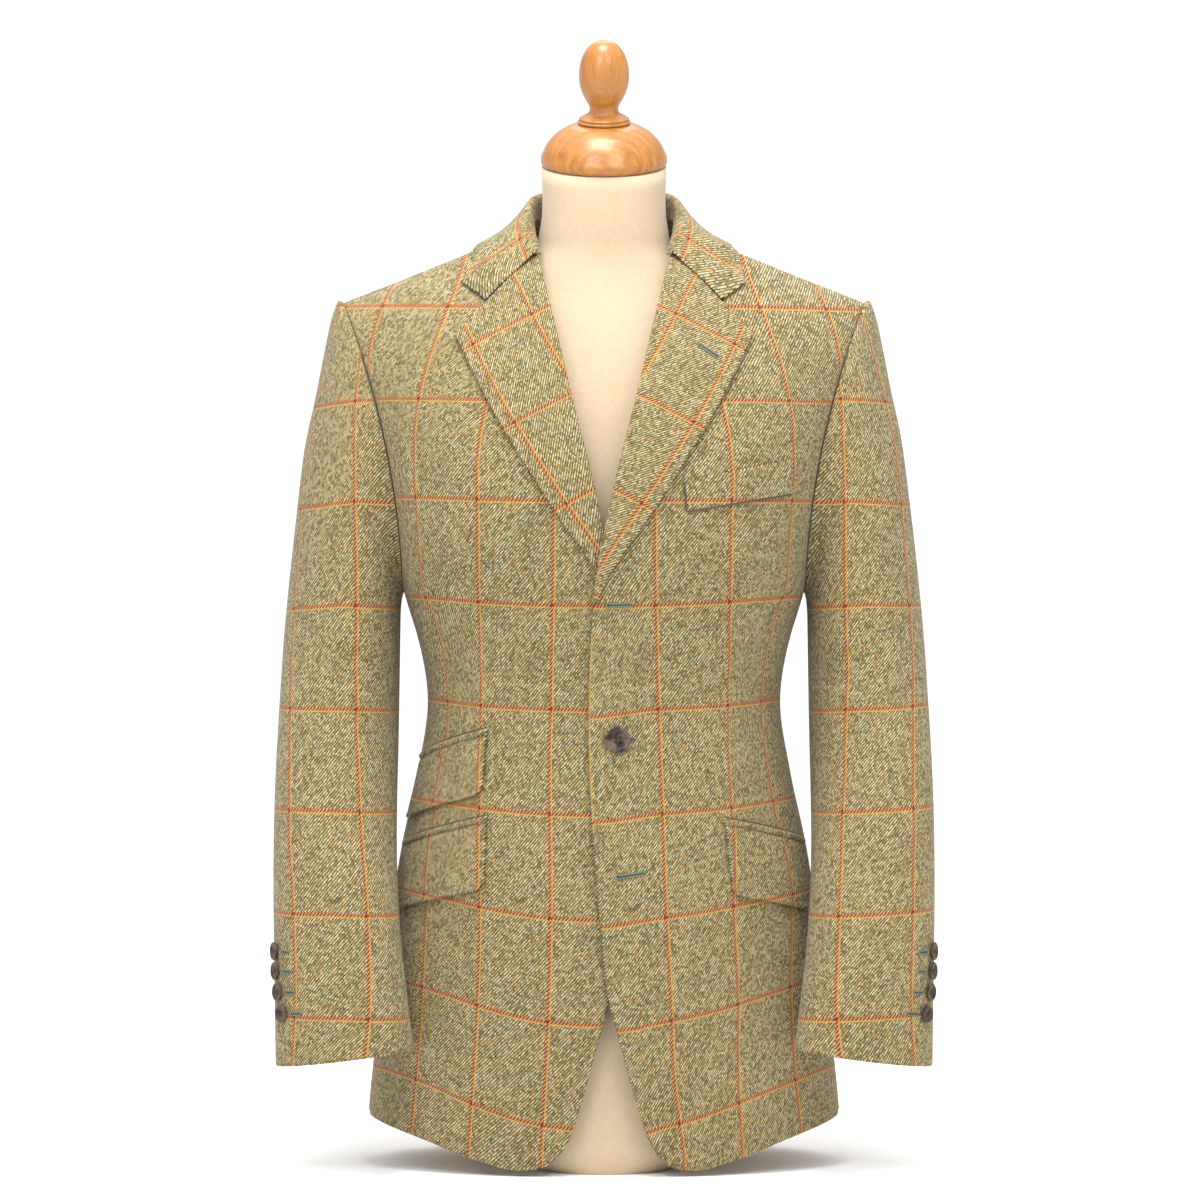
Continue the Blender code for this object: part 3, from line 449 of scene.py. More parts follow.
def crease_rise(across, height, side, creases, across_scale=1.0):
    """How far the cloth stands out at each place through the creases of one side."""
    total = np.zeros_like(across)
    for crease in creases:
        row = dict(zip(CREASE_COLUMNS, crease))
        if row["side"] != side:
            continue
        start = np.array([row["x0"] * across_scale, row["z0"]])
        run = np.array([row["x1"] * across_scale, row["z1"]]) - start
        length = np.hypot(*run)
        run /= length
        from_x, from_z = across * across_scale - start[0], height - start[1]
        along = (from_x * run[0] + from_z * run[1]) / length
        aside = (from_x * run[1] - from_z * run[0]) / row["width"]
        fade = ease(along, *CREASE_START) * (1 - ease(along, *CREASE_END))
        total += row["rise"] * fade * np.exp(-aside ** 2)
    return total


def on_side(points, side):
    """Points of a left front given their creases, then kept for side 1 or mirrored for side -1."""
    rise = crease_rise(points[..., 0], points[..., 2], side, FRONT_CREASES)
    fade = ease(-points[..., 1], *FRONT_CREASE_Y)[..., None]
    placed = points + rise[..., None] * wall_direction(points) * fade
    placed = lapped(placed) if side > 0 else placed
    placed[..., 0] *= side
    return placed


# Cloth coordinates, in millimetres of cloth: the check's lines fall on whole repeats of them.

def check_height(height):
    """Cloth height of a level line of the body."""
    return height + CHEST_LIFT * ease(height, *CHEST_LIFT_UP) - CHECK_Z


def level_rise(height):
    """How much higher a level line of the check lies at the side seam than at the centre front."""
    return SIDE_RISE + HEM_RISE * np.maximum(HEM_RISE_TOP - height, 0.0)


def skirt_map(angle, height, side, edge=POCKET_EDGE):
    """Cloth coordinates of a front below the break; a line runs along its edge above the lower button."""
    across = girth(angle, height)
    lines = []
    for name in CHECK_LINE_COLUMNS[1:]:
        line_x = read(CHECK_LINES[side], CHECK_LINE_COLUMNS, "height", name, height)
        lines.append(girth(angle_at(line_x, height), height))
    drawn = (CHECK_ACROSS - EDGE_LINE) / (lines[0] - edge)
    drawn = 1 + (drawn - 1) * ease(height, *EDGE_LINE_UP)
    spread = FRONT_LINE_X + np.minimum(across - lines[0], 0.0) * drawn
    for near, far in zip(lines[:-1], lines[1:]):
        spread = spread + CHECK_ACROSS * np.clip((across - near) / (far - near), 0.0, 1.0)
    across = spread + np.maximum(across - lines[-1], 0.0)
    even = np.clip((across - EVEN_RISE_FROM) / EVEN_RISE_RUN, 0.0, 1.0)
    share = CHECK_EVEN[side] * even + (1 - CHECK_EVEN[side]) * ease(across, *SOFT_RISE_ACROSS)
    rise = level_rise(height) * share
    if side > 0:
        rise = rise - EDGE_DIP * (1 - ease(across, *EDGE_DIP_ACROSS)) * (1 - ease(height, *EDGE_DIP_UP))
    return np.stack([side * (across - FRONT_LINE_X), check_height(height) - rise], axis=-1)


def chest_map(across, up, points, side):
    """Cloth coordinates of a front's chest."""
    fine = np.linspace(0.0, 1.0, CHEST_STEPS).reshape((-1,) + (1,) * across.ndim)
    walked = run_length(chest(fine * across, up + 0 * fine), 0)[-1]
    height = BREAK_Z + up * (SHOULDER_NECK[2] - BREAK_Z)
    start = read(ROLL_LINE, ROLL_COLUMNS, "height", "across", height)
    spread = CHEST_SPREAD * ease(height, *CHEST_SPREAD_UP)
    level = CHEST_LEVEL[side] * ease(height, *CHEST_LEVEL_UP)
    rise = SIDE_RISE * ease(walked, *CHEST_RISE_ACROSS) * (1 - level)
    x = side * (start + walked + spread - FRONT_LINE_X)
    return np.stack([x, check_height(points[..., 2]) - rise], axis=-1)


# Meshes

EDGE_ROUND, END_ROUND, END_PINCH = 0.45, 0.4, 0.5      # how far a sheet's edge bows out, by its thickness
MIRROR = {1: np.array([1.0, 1.0, 1.0]), -1: np.array([-1.0, 1.0, 1.0])}
SIDES = ((1, "left"), (-1, "right"))


def add_mesh(name, points, faces, corner_map, material, node=None):
    """One named piece riding on the object, with its cloth map and finish."""
    mesh = bpy.data.meshes.new(name)
    mesh.from_pydata([tuple(point) for point in np.asarray(points) * MM], [], faces)
    if corner_map is not None:
        layer = mesh.uv_layers.new(name="cloth")
        layer.data.foreach_set("uv", np.asarray(corner_map, dtype=np.float32).ravel() / UV_SCALE)
    shape = bmesh.new()
    shape.from_mesh(mesh)
    bmesh.ops.recalc_face_normals(shape, faces=shape.faces)
    shape.to_mesh(mesh)
    shape.free()
    mesh.polygons.foreach_set("use_smooth", np.ones(len(mesh.polygons), dtype=bool))
    mesh.materials.append(material)
    piece = bpy.data.objects.new(name, mesh)
    bpy.context.collection.objects.link(piece)
    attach(piece, "root")
    if node is not None:
        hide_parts(node)
    return piece


def grid_normals(grid, closed=False):
    """Unit normals of a grid of points; a closed grid's rows run round a tube."""
    if closed:
        along = np.roll(grid, -1, axis=0) - np.roll(grid, 1, axis=0)
    else:
        along = np.gradient(grid, axis=0)
    return unit(np.cross(np.gradient(grid, axis=1), along))


def add_shell(name, outer, inner, cloth, material, node, closed=False):
    """A sheet of cloth with rounded edges between two grids, round a tube where its rows close.

    Each ring runs over the outside, round one edge, back along the inside and round the other edge.
    """
    def rounded(out_row, in_row, away):
        thick = np.linalg.norm(out_row - in_row, axis=-1, keepdims=True)
        return (out_row + in_row) / 2 + away * thick * EDGE_ROUND

    left = rounded(outer[:, :1], inner[:, :1], unit(outer[:, :1] - outer[:, 1:2]))
    right = rounded(outer[:, -1:], inner[:, -1:], unit(outer[:, -1:] - outer[:, -2:-1]))
    rings = np.concatenate([outer, right, inner[:, ::-1], left], axis=1)
    flat = np.concatenate([cloth, cloth[:, -1:], cloth[:, ::-1], cloth[:, :1]], axis=1)
    if not closed:
        middle = (outer + inner) / 2
        ends = []
        for here, next_one in ((0, 1), (-1, -2)):
            away = END_ROUND * CLOTH * unit(middle[here] - middle[next_one])
            out_end = middle[here] + (outer[here] - middle[here]) * END_PINCH + away
            in_end = middle[here] + (inner[here] - middle[here]) * END_PINCH + away
            ends.append(np.concatenate([out_end, right[here] + away[-1:] * END_PINCH, in_end[::-1],
                                        left[here] + away[:1] * END_PINCH])[None])
        rings = np.concatenate([ends[0], rings, ends[1]])
        flat = np.concatenate([flat[:1], flat, flat[-1:]])
    count, round_count = rings.shape[:2]
    index = np.arange(count * round_count).reshape(count, round_count)
    if closed:
        index = np.concatenate([index, index[:1]])
        flat = np.concatenate([flat, flat[-1:] * 2 - flat[-2:-1]])
    index = np.concatenate([index, index[:, :1]], axis=1)
    flat = np.concatenate([flat, flat[:, :1]], axis=1)
    corners = ((slice(None, -1), slice(None, -1)), (slice(None, -1), slice(1, None)),
               (slice(1, None), slice(1, None)), (slice(1, None), slice(None, -1)))
    faces = np.stack([index[corner] for corner in corners], axis=-1).reshape(-1, 4)
    maps = np.stack([flat[corner] for corner in corners], axis=-2).reshape(-1, 2)
    faces = [tuple(face) for face in faces.tolist()]
    if not closed:
        wide = outer.shape[1]
        loops = [(item, item + 1, 2 * wide - item - 1, 2 * wide - item) for item in range(wide - 1)]
        loops += [(wide - 1, wide, wide + 1), (0, 2 * wide, 2 * wide + 1)]
        caps, cap_maps = [], []
        for row in (0, count - 1):
            for loop in loops:
                caps.append(tuple(int(index[row, spot]) for spot in loop))
                cap_maps.extend(flat[row, spot] for spot in loop)
        faces = faces + caps
        maps = np.concatenate([maps, np.array(cap_maps)])
    return add_mesh(name, rings.reshape(-1, 3), faces, maps, material, node)


def cut_size(outer):
    """Flat size of a piece of cloth in metres: its width, length and area along the surface."""
    width = run_length(outer, 1)[:, -1].max()
    length = run_length(outer, 0)[-1].max()
    first = np.cross(outer[1:, :-1] - outer[:-1, :-1], outer[:-1, 1:] - outer[:-1, :-1])
    second = np.cross(outer[1:, 1:] - outer[1:, :-1], outer[1:, 1:] - outer[:-1, 1:])
    area = (np.linalg.norm(first, axis=-1) + np.linalg.norm(second, axis=-1)).sum() / 2
    return width * MM, length * MM, area * MM * MM


def declare_sheet(outer):
    width, length, area = cut_size(outer)
    length = max(length, NARROWEST_CUT)


# Panels of the body

EDGE_STITCH, EDGE_STITCH_WIDTH, EDGE_STITCH_DEPTH = 5.2, 1.3, 0.55
EDGE_ROLL, EDGE_ROLL_PLACE, EDGE_ROLL_WIDTH = 0.25, 0.45, 1.8
NO_STITCH = 60.0                    # added to a distance where an edge has no stitching
SEAM_SINK, SEAM_SINK_WIDTH = 0.8, 2.2
FRONT_LOWER_ROWS, FRONT_UPPER_ROWS, FRONT_WIDE_COLUMNS = 116, 84, 64
BACK_LOWER_ROWS, BACK_UPPER_ROWS, BACK_COLUMNS = 76, 64, 60
SLEEVE_SIDES, SLEEVE_STEPS = 108, 10
SEAM_ANGLE = SEAM_GAP / 2 / SECTIONS[0][1]
LAST_ANGLE = math.pi / 2 - SEAM_ANGLE
HEM_CROWDING, ROW_CROWDING = 1.15, 0.9                     # powers that set columns and rows closer
HEM_FADE = 0.5                      # share up the skirt where the columns stop following the hem
RIGHT_EXTRA_UP = (300.0, 480.0)     # heights over which the right front's extra width ends
STITCH_END = 14.0                   # the edge stitching ends this far below the break


def stitched(distance):
    """Relief of a swelled edge: a soft roll at the edge, then the groove of its line of stitches."""
    groove = EDGE_STITCH_DEPTH * np.exp(-((distance - EDGE_STITCH) / EDGE_STITCH_WIDTH) ** 2)
    roll = EDGE_ROLL * np.exp(-((distance - EDGE_ROLL_PLACE * EDGE_STITCH) / EDGE_ROLL_WIDTH) ** 2)
    return roll - groove


def sunk(distance):
    """Relief of a pressed seam: the cloth turns in at the seam."""
    return -SEAM_SINK * np.exp(-(distance / SEAM_SINK_WIDTH) ** 2)


def edge_shares(count, near=0.05, near_count=10):
    """Shares from 0 to 1, closer together near 0."""
    return np.concatenate([np.linspace(0.0, near, near_count, endpoint=False), np.linspace(near, 1.0, count)])


def settle(grid, row, reach=12, passes=40):
    """Smooths the join of two surfaces across one row of a grid."""
    rows = np.arange(max(1, row - reach), min(len(grid) - 1, row + reach + 1))
    weight = (0.5 * (1 - ease(np.abs(rows - row), 0.4 * reach, reach)))[:, None, None]
    for _ in range(passes):
        grid[rows] += weight * ((grid[rows - 1] + grid[rows + 1]) / 2 - grid[rows])
    return grid


def front_skirt(across, share, extra):
    """Angles and heights of a front from its hem up to the break."""
    hem_x = column(FRONT_HEM, FRONT_HEM_COLUMNS, "across")
    hem_z = column(FRONT_HEM, FRONT_HEM_COLUMNS, "height")
    hem_span = np.concatenate([[0.0], np.cumsum(np.hypot(np.diff(hem_x), np.diff(hem_z)))])
    along = across ** HEM_CROWDING * hem_span[-1]
    bottom_x = smooth(hem_span, hem_x, along) - extra * (1 - across)
    bottom_z = smooth(hem_span, hem_z, along)
    top_z = BREAK_Z + across * (ARMPIT_Z - BREAK_Z)
    height = bottom_z + share[:, None] ** ROW_CROWDING * (top_z - bottom_z)
    edge = -read(FRONT_EDGE, FRONT_EDGE_COLUMNS, "height", "past_centre", height[:, 0])
    edge = edge - extra * (1 - ease(height[:, 0], *RIGHT_EXTRA_UP))
    edge_angle = angle_at(edge, height[:, 0])[:, None]
    hem_angle = angle_at(bottom_x, bottom_z)
    hem_share = (hem_angle - hem_angle[0]) / (hem_angle[-1] - hem_angle[0])
    spread = hem_share + (across - hem_share) * ease(share, 0.0, HEM_FADE)[:, None]
    return edge_angle + spread * (LAST_ANGLE - edge_angle), height


def add_front(side, label, tweed):
    """One front, from its rounded hem to the shoulder seam."""
    across = edge_shares(FRONT_WIDE_COLUMNS)
    angles, height = front_skirt(across, np.linspace(0.0, 1.0, FRONT_LOWER_ROWS + 1),
                                 0.0 if side > 0 else RIGHT_EXTRA)
    upper_across, up = np.meshgrid(across, np.linspace(0.0, 1.0, FRONT_UPPER_ROWS + 1)[1:])
    upper = chest(upper_across, up)
    grid = settle(np.concatenate([section_point(angles, height), upper]), FRONT_LOWER_ROWS)
    edge = girth(angles[:, :1], height[:, :1])
    cloth = np.concatenate([skirt_map(angles, height, side, edge), chest_map(upper_across, up, upper, side)])
    cloth = settle(cloth, FRONT_LOWER_ROWS)
    from_edge = run_length(grid, 1)
    from_top = run_length(grid, 0)
    below_break = 1 - ease(grid[:, :1, 2], BREAK_Z - STITCH_END, BREAK_Z)
    relief = stitched(from_edge) * below_break + sunk(from_edge[:, -1:] - from_edge)
    relief = relief + sunk(from_top[-1:] - from_top)
    out = wall_direction(grid)
    outer = grid + relief[..., None] * out
    inner = grid - CLOTH * out
    name = f"front_{label}"
    piece = add_shell(f"cloth_{name}", on_side(outer, side), on_side(inner, side), cloth, tweed, name)
    declare_sheet(outer)


def back_seam_point(share):
    """The centre seam of the back above the armpit."""
    height = ARMPIT_Z + share * (BACK_SEAM[-1][0] - ARMPIT_Z)
    depth = read(BACK_SEAM, BACK_SEAM_COLUMNS, "height", "depth", height)
    return np.stack([np.full_like(height, SEAM_GAP / 2), depth, height], axis=-1)


def back_top_point(share):
    """The top of a half back: round the neck, then along the shoulder seam."""
    start = back_seam_point(np.array(1.0))
    turn = np.clip(share / BACK_NECK_SHARE, 0.0, 1.0) * math.pi / 2
    seam = np.clip((share - BACK_NECK_SHARE) / (1 - BACK_NECK_SHARE), 0.0, 1.0)
    neck = np.stack([start[0] + (SHOULDER_NECK[0] - start[0]) * np.sin(turn),
                     SHOULDER_NECK[1] + (start[1] - SHOULDER_NECK[1]) * np.cos(turn),
                     start[2] + (SHOULDER_NECK[2] - start[2]) * np.sin(turn)], axis=-1)
    shoulder = SHOULDER_NECK + seam[..., None] * (SHOULDER_TIP - SHOULDER_NECK)
    return np.where((share < BACK_NECK_SHARE)[..., None], neck, shoulder)


def back_angle(share):
    """Angle of a share from the centre seam of the back to the side seam."""
    first = math.pi - SEAM_ANGLE
    return first + share * (math.pi / 2 + SEAM_ANGLE - first)


def add_back(side, label, tweed):
    """Half of the back, from its hem to the neck and shoulder seams."""
    across, height = np.meshgrid(np.linspace(0.0, 1.0, BACK_COLUMNS + 1),
                                 np.linspace(BACK_HEM_Z, ARMPIT_Z, BACK_LOWER_ROWS + 1))
    lower = section_point(back_angle(across), height)
    lower[..., 0] = np.maximum(lower[..., 0], SEAM_GAP / 2)
    across, up = np.meshgrid(across[0], np.linspace(0.0, 1.0, BACK_UPPER_ROWS + 1)[1:])

    def bottom(share):
        return section_point(back_angle(share), np.full_like(share, ARMPIT_Z))

    def right(share):
        return armhole_point(math.pi * (1 - share), False)

    upper = patch(bottom, back_top_point, back_seam_point, right, across, up)
    upper[..., 1] += BACK_SWELL * np.sin(math.pi * across / 2 + math.pi / 4) * np.sin(math.pi * up)
    grid = settle(np.concatenate([lower, upper]), BACK_LOWER_ROWS)
    from_seam, from_top = run_length(grid, 1), run_length(grid, 0)
    relief = sunk(from_seam) + sunk(from_seam[:, -1:] - from_seam) + sunk(from_top[-1:] - from_top)
    creases = crease_rise(grid[..., 0], grid[..., 2], side, BACK_CREASES)
    relief = relief + creases * ease(grid[..., 1], *BACK_CREASE_Y)
    out = wall_direction(grid)
    out[:, 0, 0] = 0.0
    outer = grid + relief[..., None] * out
    inner = grid - CLOTH * out
    matched = level_rise(grid[..., 2]) * (1 - ease(from_seam[:, -1:] - from_seam, 0.0, BACK_MATCH))
    cloth = np.stack([-side * (from_seam - CHECK_ACROSS / 2), check_height(grid[..., 2]) - matched], axis=-1)
    name = f"back_{label}"
    piece = add_shell(f"cloth_{name}", outer * MIRROR[side], inner * MIRROR[side], cloth, tweed, name)
    declare_sheet(outer)


# Sleeves

SLEEVE_SEAM_TURN = 250.0
SLEEVE_INNER_X = 175.0
SLEEVE_CREASE_FULL = 2.0            # rings from the head to full creases


def sleeve_point(turn, place):
    """A point of the left sleeve; turn in radians from its outer edge to the front, place by rings."""
    knots = np.arange(len(RINGS), dtype=float)
    ring = {name: smooth(knots, column(RINGS, RING_COLUMNS, name), place) for name in RING_COLUMNS}
    reach, bow = np.cos(turn), np.sin(turn)
    x = ((ring["outer_x"] + ring["inner_x"]) / 2 + reach * (ring["outer_x"] - ring["inner_x"]) / 2
         - ring["hollow"] * bow ** 2)
    fade = np.exp(-place)
    y = ring["middle_y"] * (1 + reach * fade) / (1 + fade) - ring["half_depth"] * bow
    z = (ring["outer_z"] + ring["inner_z"]) / 2 + reach * (ring["outer_z"] - ring["inner_z"]) / 2
    return np.stack([x, y, z], axis=-1)


def sleeve_outward(grid):
    """The way out of the sleeve at each point of a grid of turns and places."""
    normal = grid_normals(grid, closed=True)
    middle = grid.mean(axis=0, keepdims=True)
    normal = normal * np.sign((normal * (grid - middle)).sum(axis=-1, keepdims=True))
    normal[:, 0] = unit(grid[:, 0] - middle[:, 0])
    return normal


def level_degrees(grid, near):
    """Turn of each sleeve point round the sleeve's middle at its own height, close to the given turn."""
    heights = column(RINGS, RING_COLUMNS, "outer_z")[::-1]
    heights[-1] = heights[-2] + 1.0     # the first ring's top lies just under the second's
    inside = {name: smooth(heights, column(RINGS, RING_COLUMNS, name)[::-1], grid[..., 2])
              for name in ("outer_x", "middle_y", "half_depth")}
    half = np.maximum(inside["outer_x"] - SLEEVE_INNER_X, 1.0) / 2
    across = (grid[..., 0] - SLEEVE_INNER_X - half) / half
    degrees = np.degrees(np.arctan2((inside["middle_y"] - grid[..., 1]) / inside["half_depth"], across))
    return degrees + 360.0 * np.round((near - degrees) / 360.0)


def add_sleeve(side, label, tweed):
    """A sleeve: a tube open at the armhole and the cuff, its back seam pressed in."""
    degrees = SLEEVE_SEAM_TURN - 360.0 + np.arange(SLEEVE_SIDES) * 360.0 / SLEEVE_SIDES
    places = np.linspace(0.0, len(RINGS) - 1.0, (len(RINGS) - 1) * SLEEVE_STEPS + 1)
    turn, place = np.meshgrid(np.radians(degrees), places, indexing="ij")
    grid = sleeve_point(turn, place)
    grid[:, 0, 0] += SEAM_GAP
    out = sleeve_outward(grid)
    turn_degrees = np.degrees(turn)
    from_seam = (turn_degrees - (SLEEVE_SEAM_TURN - 360.0)) * SLEEVE_MM_PER_DEGREE
    whole = 360.0 * SLEEVE_MM_PER_DEGREE
    relief = sunk(np.minimum(from_seam, whole - from_seam)) * ease(place, 0.0, 1.0)
    for more in (0.0, 360.0):
        creases = crease_rise(turn_degrees + more, grid[..., 2], side, SLEEVE_CREASES, SLEEVE_MM_PER_DEGREE)
        relief = relief + creases * ease(place, 0.0, SLEEVE_CREASE_FULL)
    outer = grid + relief[..., None] * out
    inner = outer - CLOTH * out
    line_turn = read(SLEEVE_LINES[side], SLEEVE_LINE_COLUMNS, "height", "turn", grid[..., 2])
    from_line = line_turn - level_degrees(grid, turn_degrees)
    low_drop, high_drop = SLEEVE_DROPS[side]
    drop = low_drop + (high_drop - low_drop) * ease(grid[..., 2], *SLEEVE_DROP_UP)
    fall = drop * np.maximum(np.cos(turn), 0.0) + SLEEVE_INNER_DROP * np.maximum(-np.cos(turn), 0.0)
    level = grid[..., 2] - CHECK_Z - SLEEVE_CLOSER * np.maximum(SLEEVE_CLOSER_TOP - grid[..., 2], 0.0)
    cloth = np.stack([side * from_line * CHECK_ACROSS / SLEEVE_LINE_STEP, level + fall], axis=-1)
    name = f"sleeve_{label}"
    outer_side, inner_side = outer * MIRROR[side], inner * MIRROR[side]
    piece = add_shell(f"cloth_{name}", outer_side, inner_side, cloth, tweed, name, closed=True)
    ring = np.concatenate([outer, outer[:1]])
    declare_sheet(ring)


# Lapels and collar

LAPEL_LONG_ROWS, LAPEL_LEAF_COLUMNS, LAPEL_ROLL_COLUMNS = 96, 44, 9
COLLAR_STEPS, COLLAR_STAND_COLUMNS, COLLAR_FALL_COLUMNS = 16, 10, 34
COLLAR_LINE_FROM_END, COLLAR_LINE_FROM_FOLD = 24.0, 9.0
LAPEL_GORGE, COLLAR_GORGE = (40.0, 60.0), (20.0, 30.0)     # where the stitching turns along the upper edge
LAPEL_FOLD_INSET, LAPEL_ROLL_SINK = 0.2, 0.35
LAPEL_ROLL_STEP = (1.0, 5.0)        # a short way up the roll line, across and up
LAPEL_ROLL_TURNS = (-62.0, 72.0)    # degrees round the roll
LAPEL_LEAF_START, LAPEL_EDGE_BAND, LAPEL_EDGE_STEPS = 0.03, 0.14, 12
LAPEL_LIFT_SKEW, LAPEL_LIFT_UP = 1.1, (0.1, 0.4)           # shares up the lapel where its belly fills
LAPEL_EDGE_LIFT_ACROSS, LAPEL_EDGE_LIFT_UP = (0.55, 1.0), (0.04, 0.2)
CHEST_FRONT_Y, SEAM_MARGIN, NECK_MARGIN = -10.0, 4.0, 8.0  # which of the collar lies over the chest
STAND_END, FALL_BAND, FALL_BAND_STEPS, CROWN_END = 0.88, 0.8, 10, 0.2
FOLD_REACH, FOLD_PULL, FOLD_PASSES = 4, 0.4, 12


def lapel_points():
    """Outer points of the left lapel: round the roll, then over the chest to its edge."""
    share = np.linspace(0.0, 1.0, LAPEL_LONG_ROWS + 1)
    roll_z = LAPEL_ROLL_BOTTOM_Z + share * (LAPEL_ROLL_TOP_Z - LAPEL_ROLL_BOTTOM_Z)
    roll_x = read(ROLL_LINE, ROLL_COLUMNS, "height", "across", roll_z)
    edge_x = read(LAPEL_EDGE, LAPEL_EDGE_COLUMNS, "share", "across", share)
    edge_z = read(LAPEL_EDGE, LAPEL_EDGE_COLUMNS, "share", "height", share)
    fold = chest_point(roll_x + LAPEL_FOLD_INSET, roll_z)
    out = wall_direction(fold)
    above = chest_point(roll_x + LAPEL_FOLD_INSET + LAPEL_ROLL_STEP[0], roll_z + LAPEL_ROLL_STEP[1])
    aside = unit(np.cross(out, above - fold))
    aside = -aside * np.sign(aside[:, :1])
    wall = LAPEL_WALL + LAPEL_CLEAR
    roll = []
    for turn in np.radians(np.linspace(*LAPEL_ROLL_TURNS, LAPEL_ROLL_COLUMNS)):
        over = wall * (0.5 + 0.5 * math.sin(turn)) - LAPEL_ROLL_SINK * (1 - math.sin(turn))
        roll.append(fold + LAPEL_WRAP * math.cos(turn) * aside + over * out)
    from_edge = edge_shares(LAPEL_LEAF_COLUMNS - LAPEL_EDGE_STEPS, LAPEL_EDGE_BAND, LAPEL_EDGE_STEPS)
    step = LAPEL_LEAF_START + (1 - LAPEL_LEAF_START) * (1 - from_edge)[::-1]
    leaf_x = roll_x[:, None] + step * (edge_x - roll_x)[:, None]
    leaf_z = roll_z[:, None] + step * (edge_z - roll_z)[:, None]
    spot = chest_point(leaf_x, leaf_z)
    belly = LAPEL_ROLL_LIFT * np.sin(math.pi * np.minimum(1.0, step * LAPEL_LIFT_SKEW))
    lift = wall + belly * ease(share, *LAPEL_LIFT_UP)[:, None]
    edge_lift = LAPEL_EDGE_LIFT * ease(step, *LAPEL_EDGE_LIFT_ACROSS)
    lift = lift + edge_lift * ease(share, *LAPEL_EDGE_LIFT_UP)[:, None]
    leaf = spot + lift[..., None] * wall_direction(spot)
    return np.concatenate([np.stack(roll, axis=1), leaf], axis=1)


def add_lapel(side, label, tweed):
    """A lapel, with its swelled edge."""
    grid = lapel_points()
    normal = grid_normals(grid)
    along = run_length(grid, 0)
    across = run_length(grid, 1)
    from_edge = across[:, -1:] - across
    from_top = along[-1:] - along
    relief = stitched(np.minimum(from_edge, from_top + NO_STITCH * (1 - ease(across, *LAPEL_GORGE))))
    outer = grid + relief[..., None] * normal
    inner = grid - LAPEL_WALL * normal
    edge_run = unit(grid[-1, -1] - grid[LAPEL_LONG_ROWS // 4, -1])
    below_tip = (grid - grid[-1, -1]) @ edge_run
    cloth = np.stack([side * (LAPEL_LINE - from_edge),
                      (below_tip + LAPEL_FIRST_LINE) * CHECK_UP / LAPEL_REPEAT], axis=-1)
    name = f"lapel_{label}"
    piece = add_shell(f"cloth_{name}", on_side(outer, side), on_side(inner, side), cloth, tweed, name)
    declare_sheet(outer)


def clear_of_chest(spots):
    """Collar points moved out where the collar's wall would touch the chest below."""
    seam_share = (spots[..., 0] - SHOULDER_NECK[0]) / (SHOULDER_TIP[0] - SHOULDER_NECK[0])
    seam_z = SHOULDER_NECK[2] + seam_share * (SHOULDER_TIP[2] - SHOULDER_NECK[2])
    over_chest = (spots[..., 1] < CHEST_FRONT_Y) & (spots[..., 2] < seam_z - SEAM_MARGIN)
    over_chest &= spots[..., 0] > SHOULDER_NECK[0] - NECK_MARGIN
    near = spots[over_chest]
    under = chest_point(near[:, 0], near[:, 2])
    out = wall_direction(under)
    short = COLLAR_WALL + COLLAR_CLEAR - ((near - under) * out).sum(axis=-1)
    moved = spots.copy()
    moved[over_chest] = near + np.maximum(short, 0.0)[:, None] * out
    return moved


def collar_points():
    """Half of the collar from the centre of the back: up the stand, over the fold, down the fall."""
    table = np.array(COLLAR)
    knots = np.arange(len(table), dtype=float)
    corner = len(table) - 2
    places = np.linspace(0.0, len(table) - 1.0, (len(table) - 1) * COLLAR_STEPS + 1)
    rows = np.stack([smooth(knots[:-1], table[:-1, item], places) for item in range(table.shape[1])], axis=-1)
    past = np.maximum(places - corner, 0.0)[:, None]
    rows = np.where(past > 0, table[corner] + past * (table[corner + 1] - table[corner]), rows)
    seam, fold, fall = rows[:, None, 0:3], rows[:, None, 3:6], rows[:, None, 6:9]
    bulge = rows[:, None, 9:10]
    rise = np.linspace(0.0, STAND_END, COLLAR_STAND_COLUMNS)[None, :, None]
    stand = seam + (fold - seam) * rise
    upper = np.linspace(0.0, FALL_BAND, COLLAR_FALL_COLUMNS - FALL_BAND_STEPS, endpoint=False)
    share = np.concatenate([upper, np.linspace(FALL_BAND, 1.0, FALL_BAND_STEPS)])[None, :, None]
    leaf = fold + (fall - fold) * share
    lift = bulge * np.sin(math.pi * share) + COLLAR_CROWN * (1 - ease(share, 0.0, CROWN_END))
    leaf = clear_of_chest(leaf + lift * wall_direction(leaf))
    return np.concatenate([stand, leaf], axis=1)


def settle_fold(grid, item):
    """Smooths a fold along one column of a grid."""
    columns = np.arange(item - FOLD_REACH, item + FOLD_REACH + 1)
    for _ in range(FOLD_PASSES):
        grid[:, columns] += FOLD_PULL * ((grid[:, columns - 1] + grid[:, columns + 1]) / 2 - grid[:, columns])
    return grid


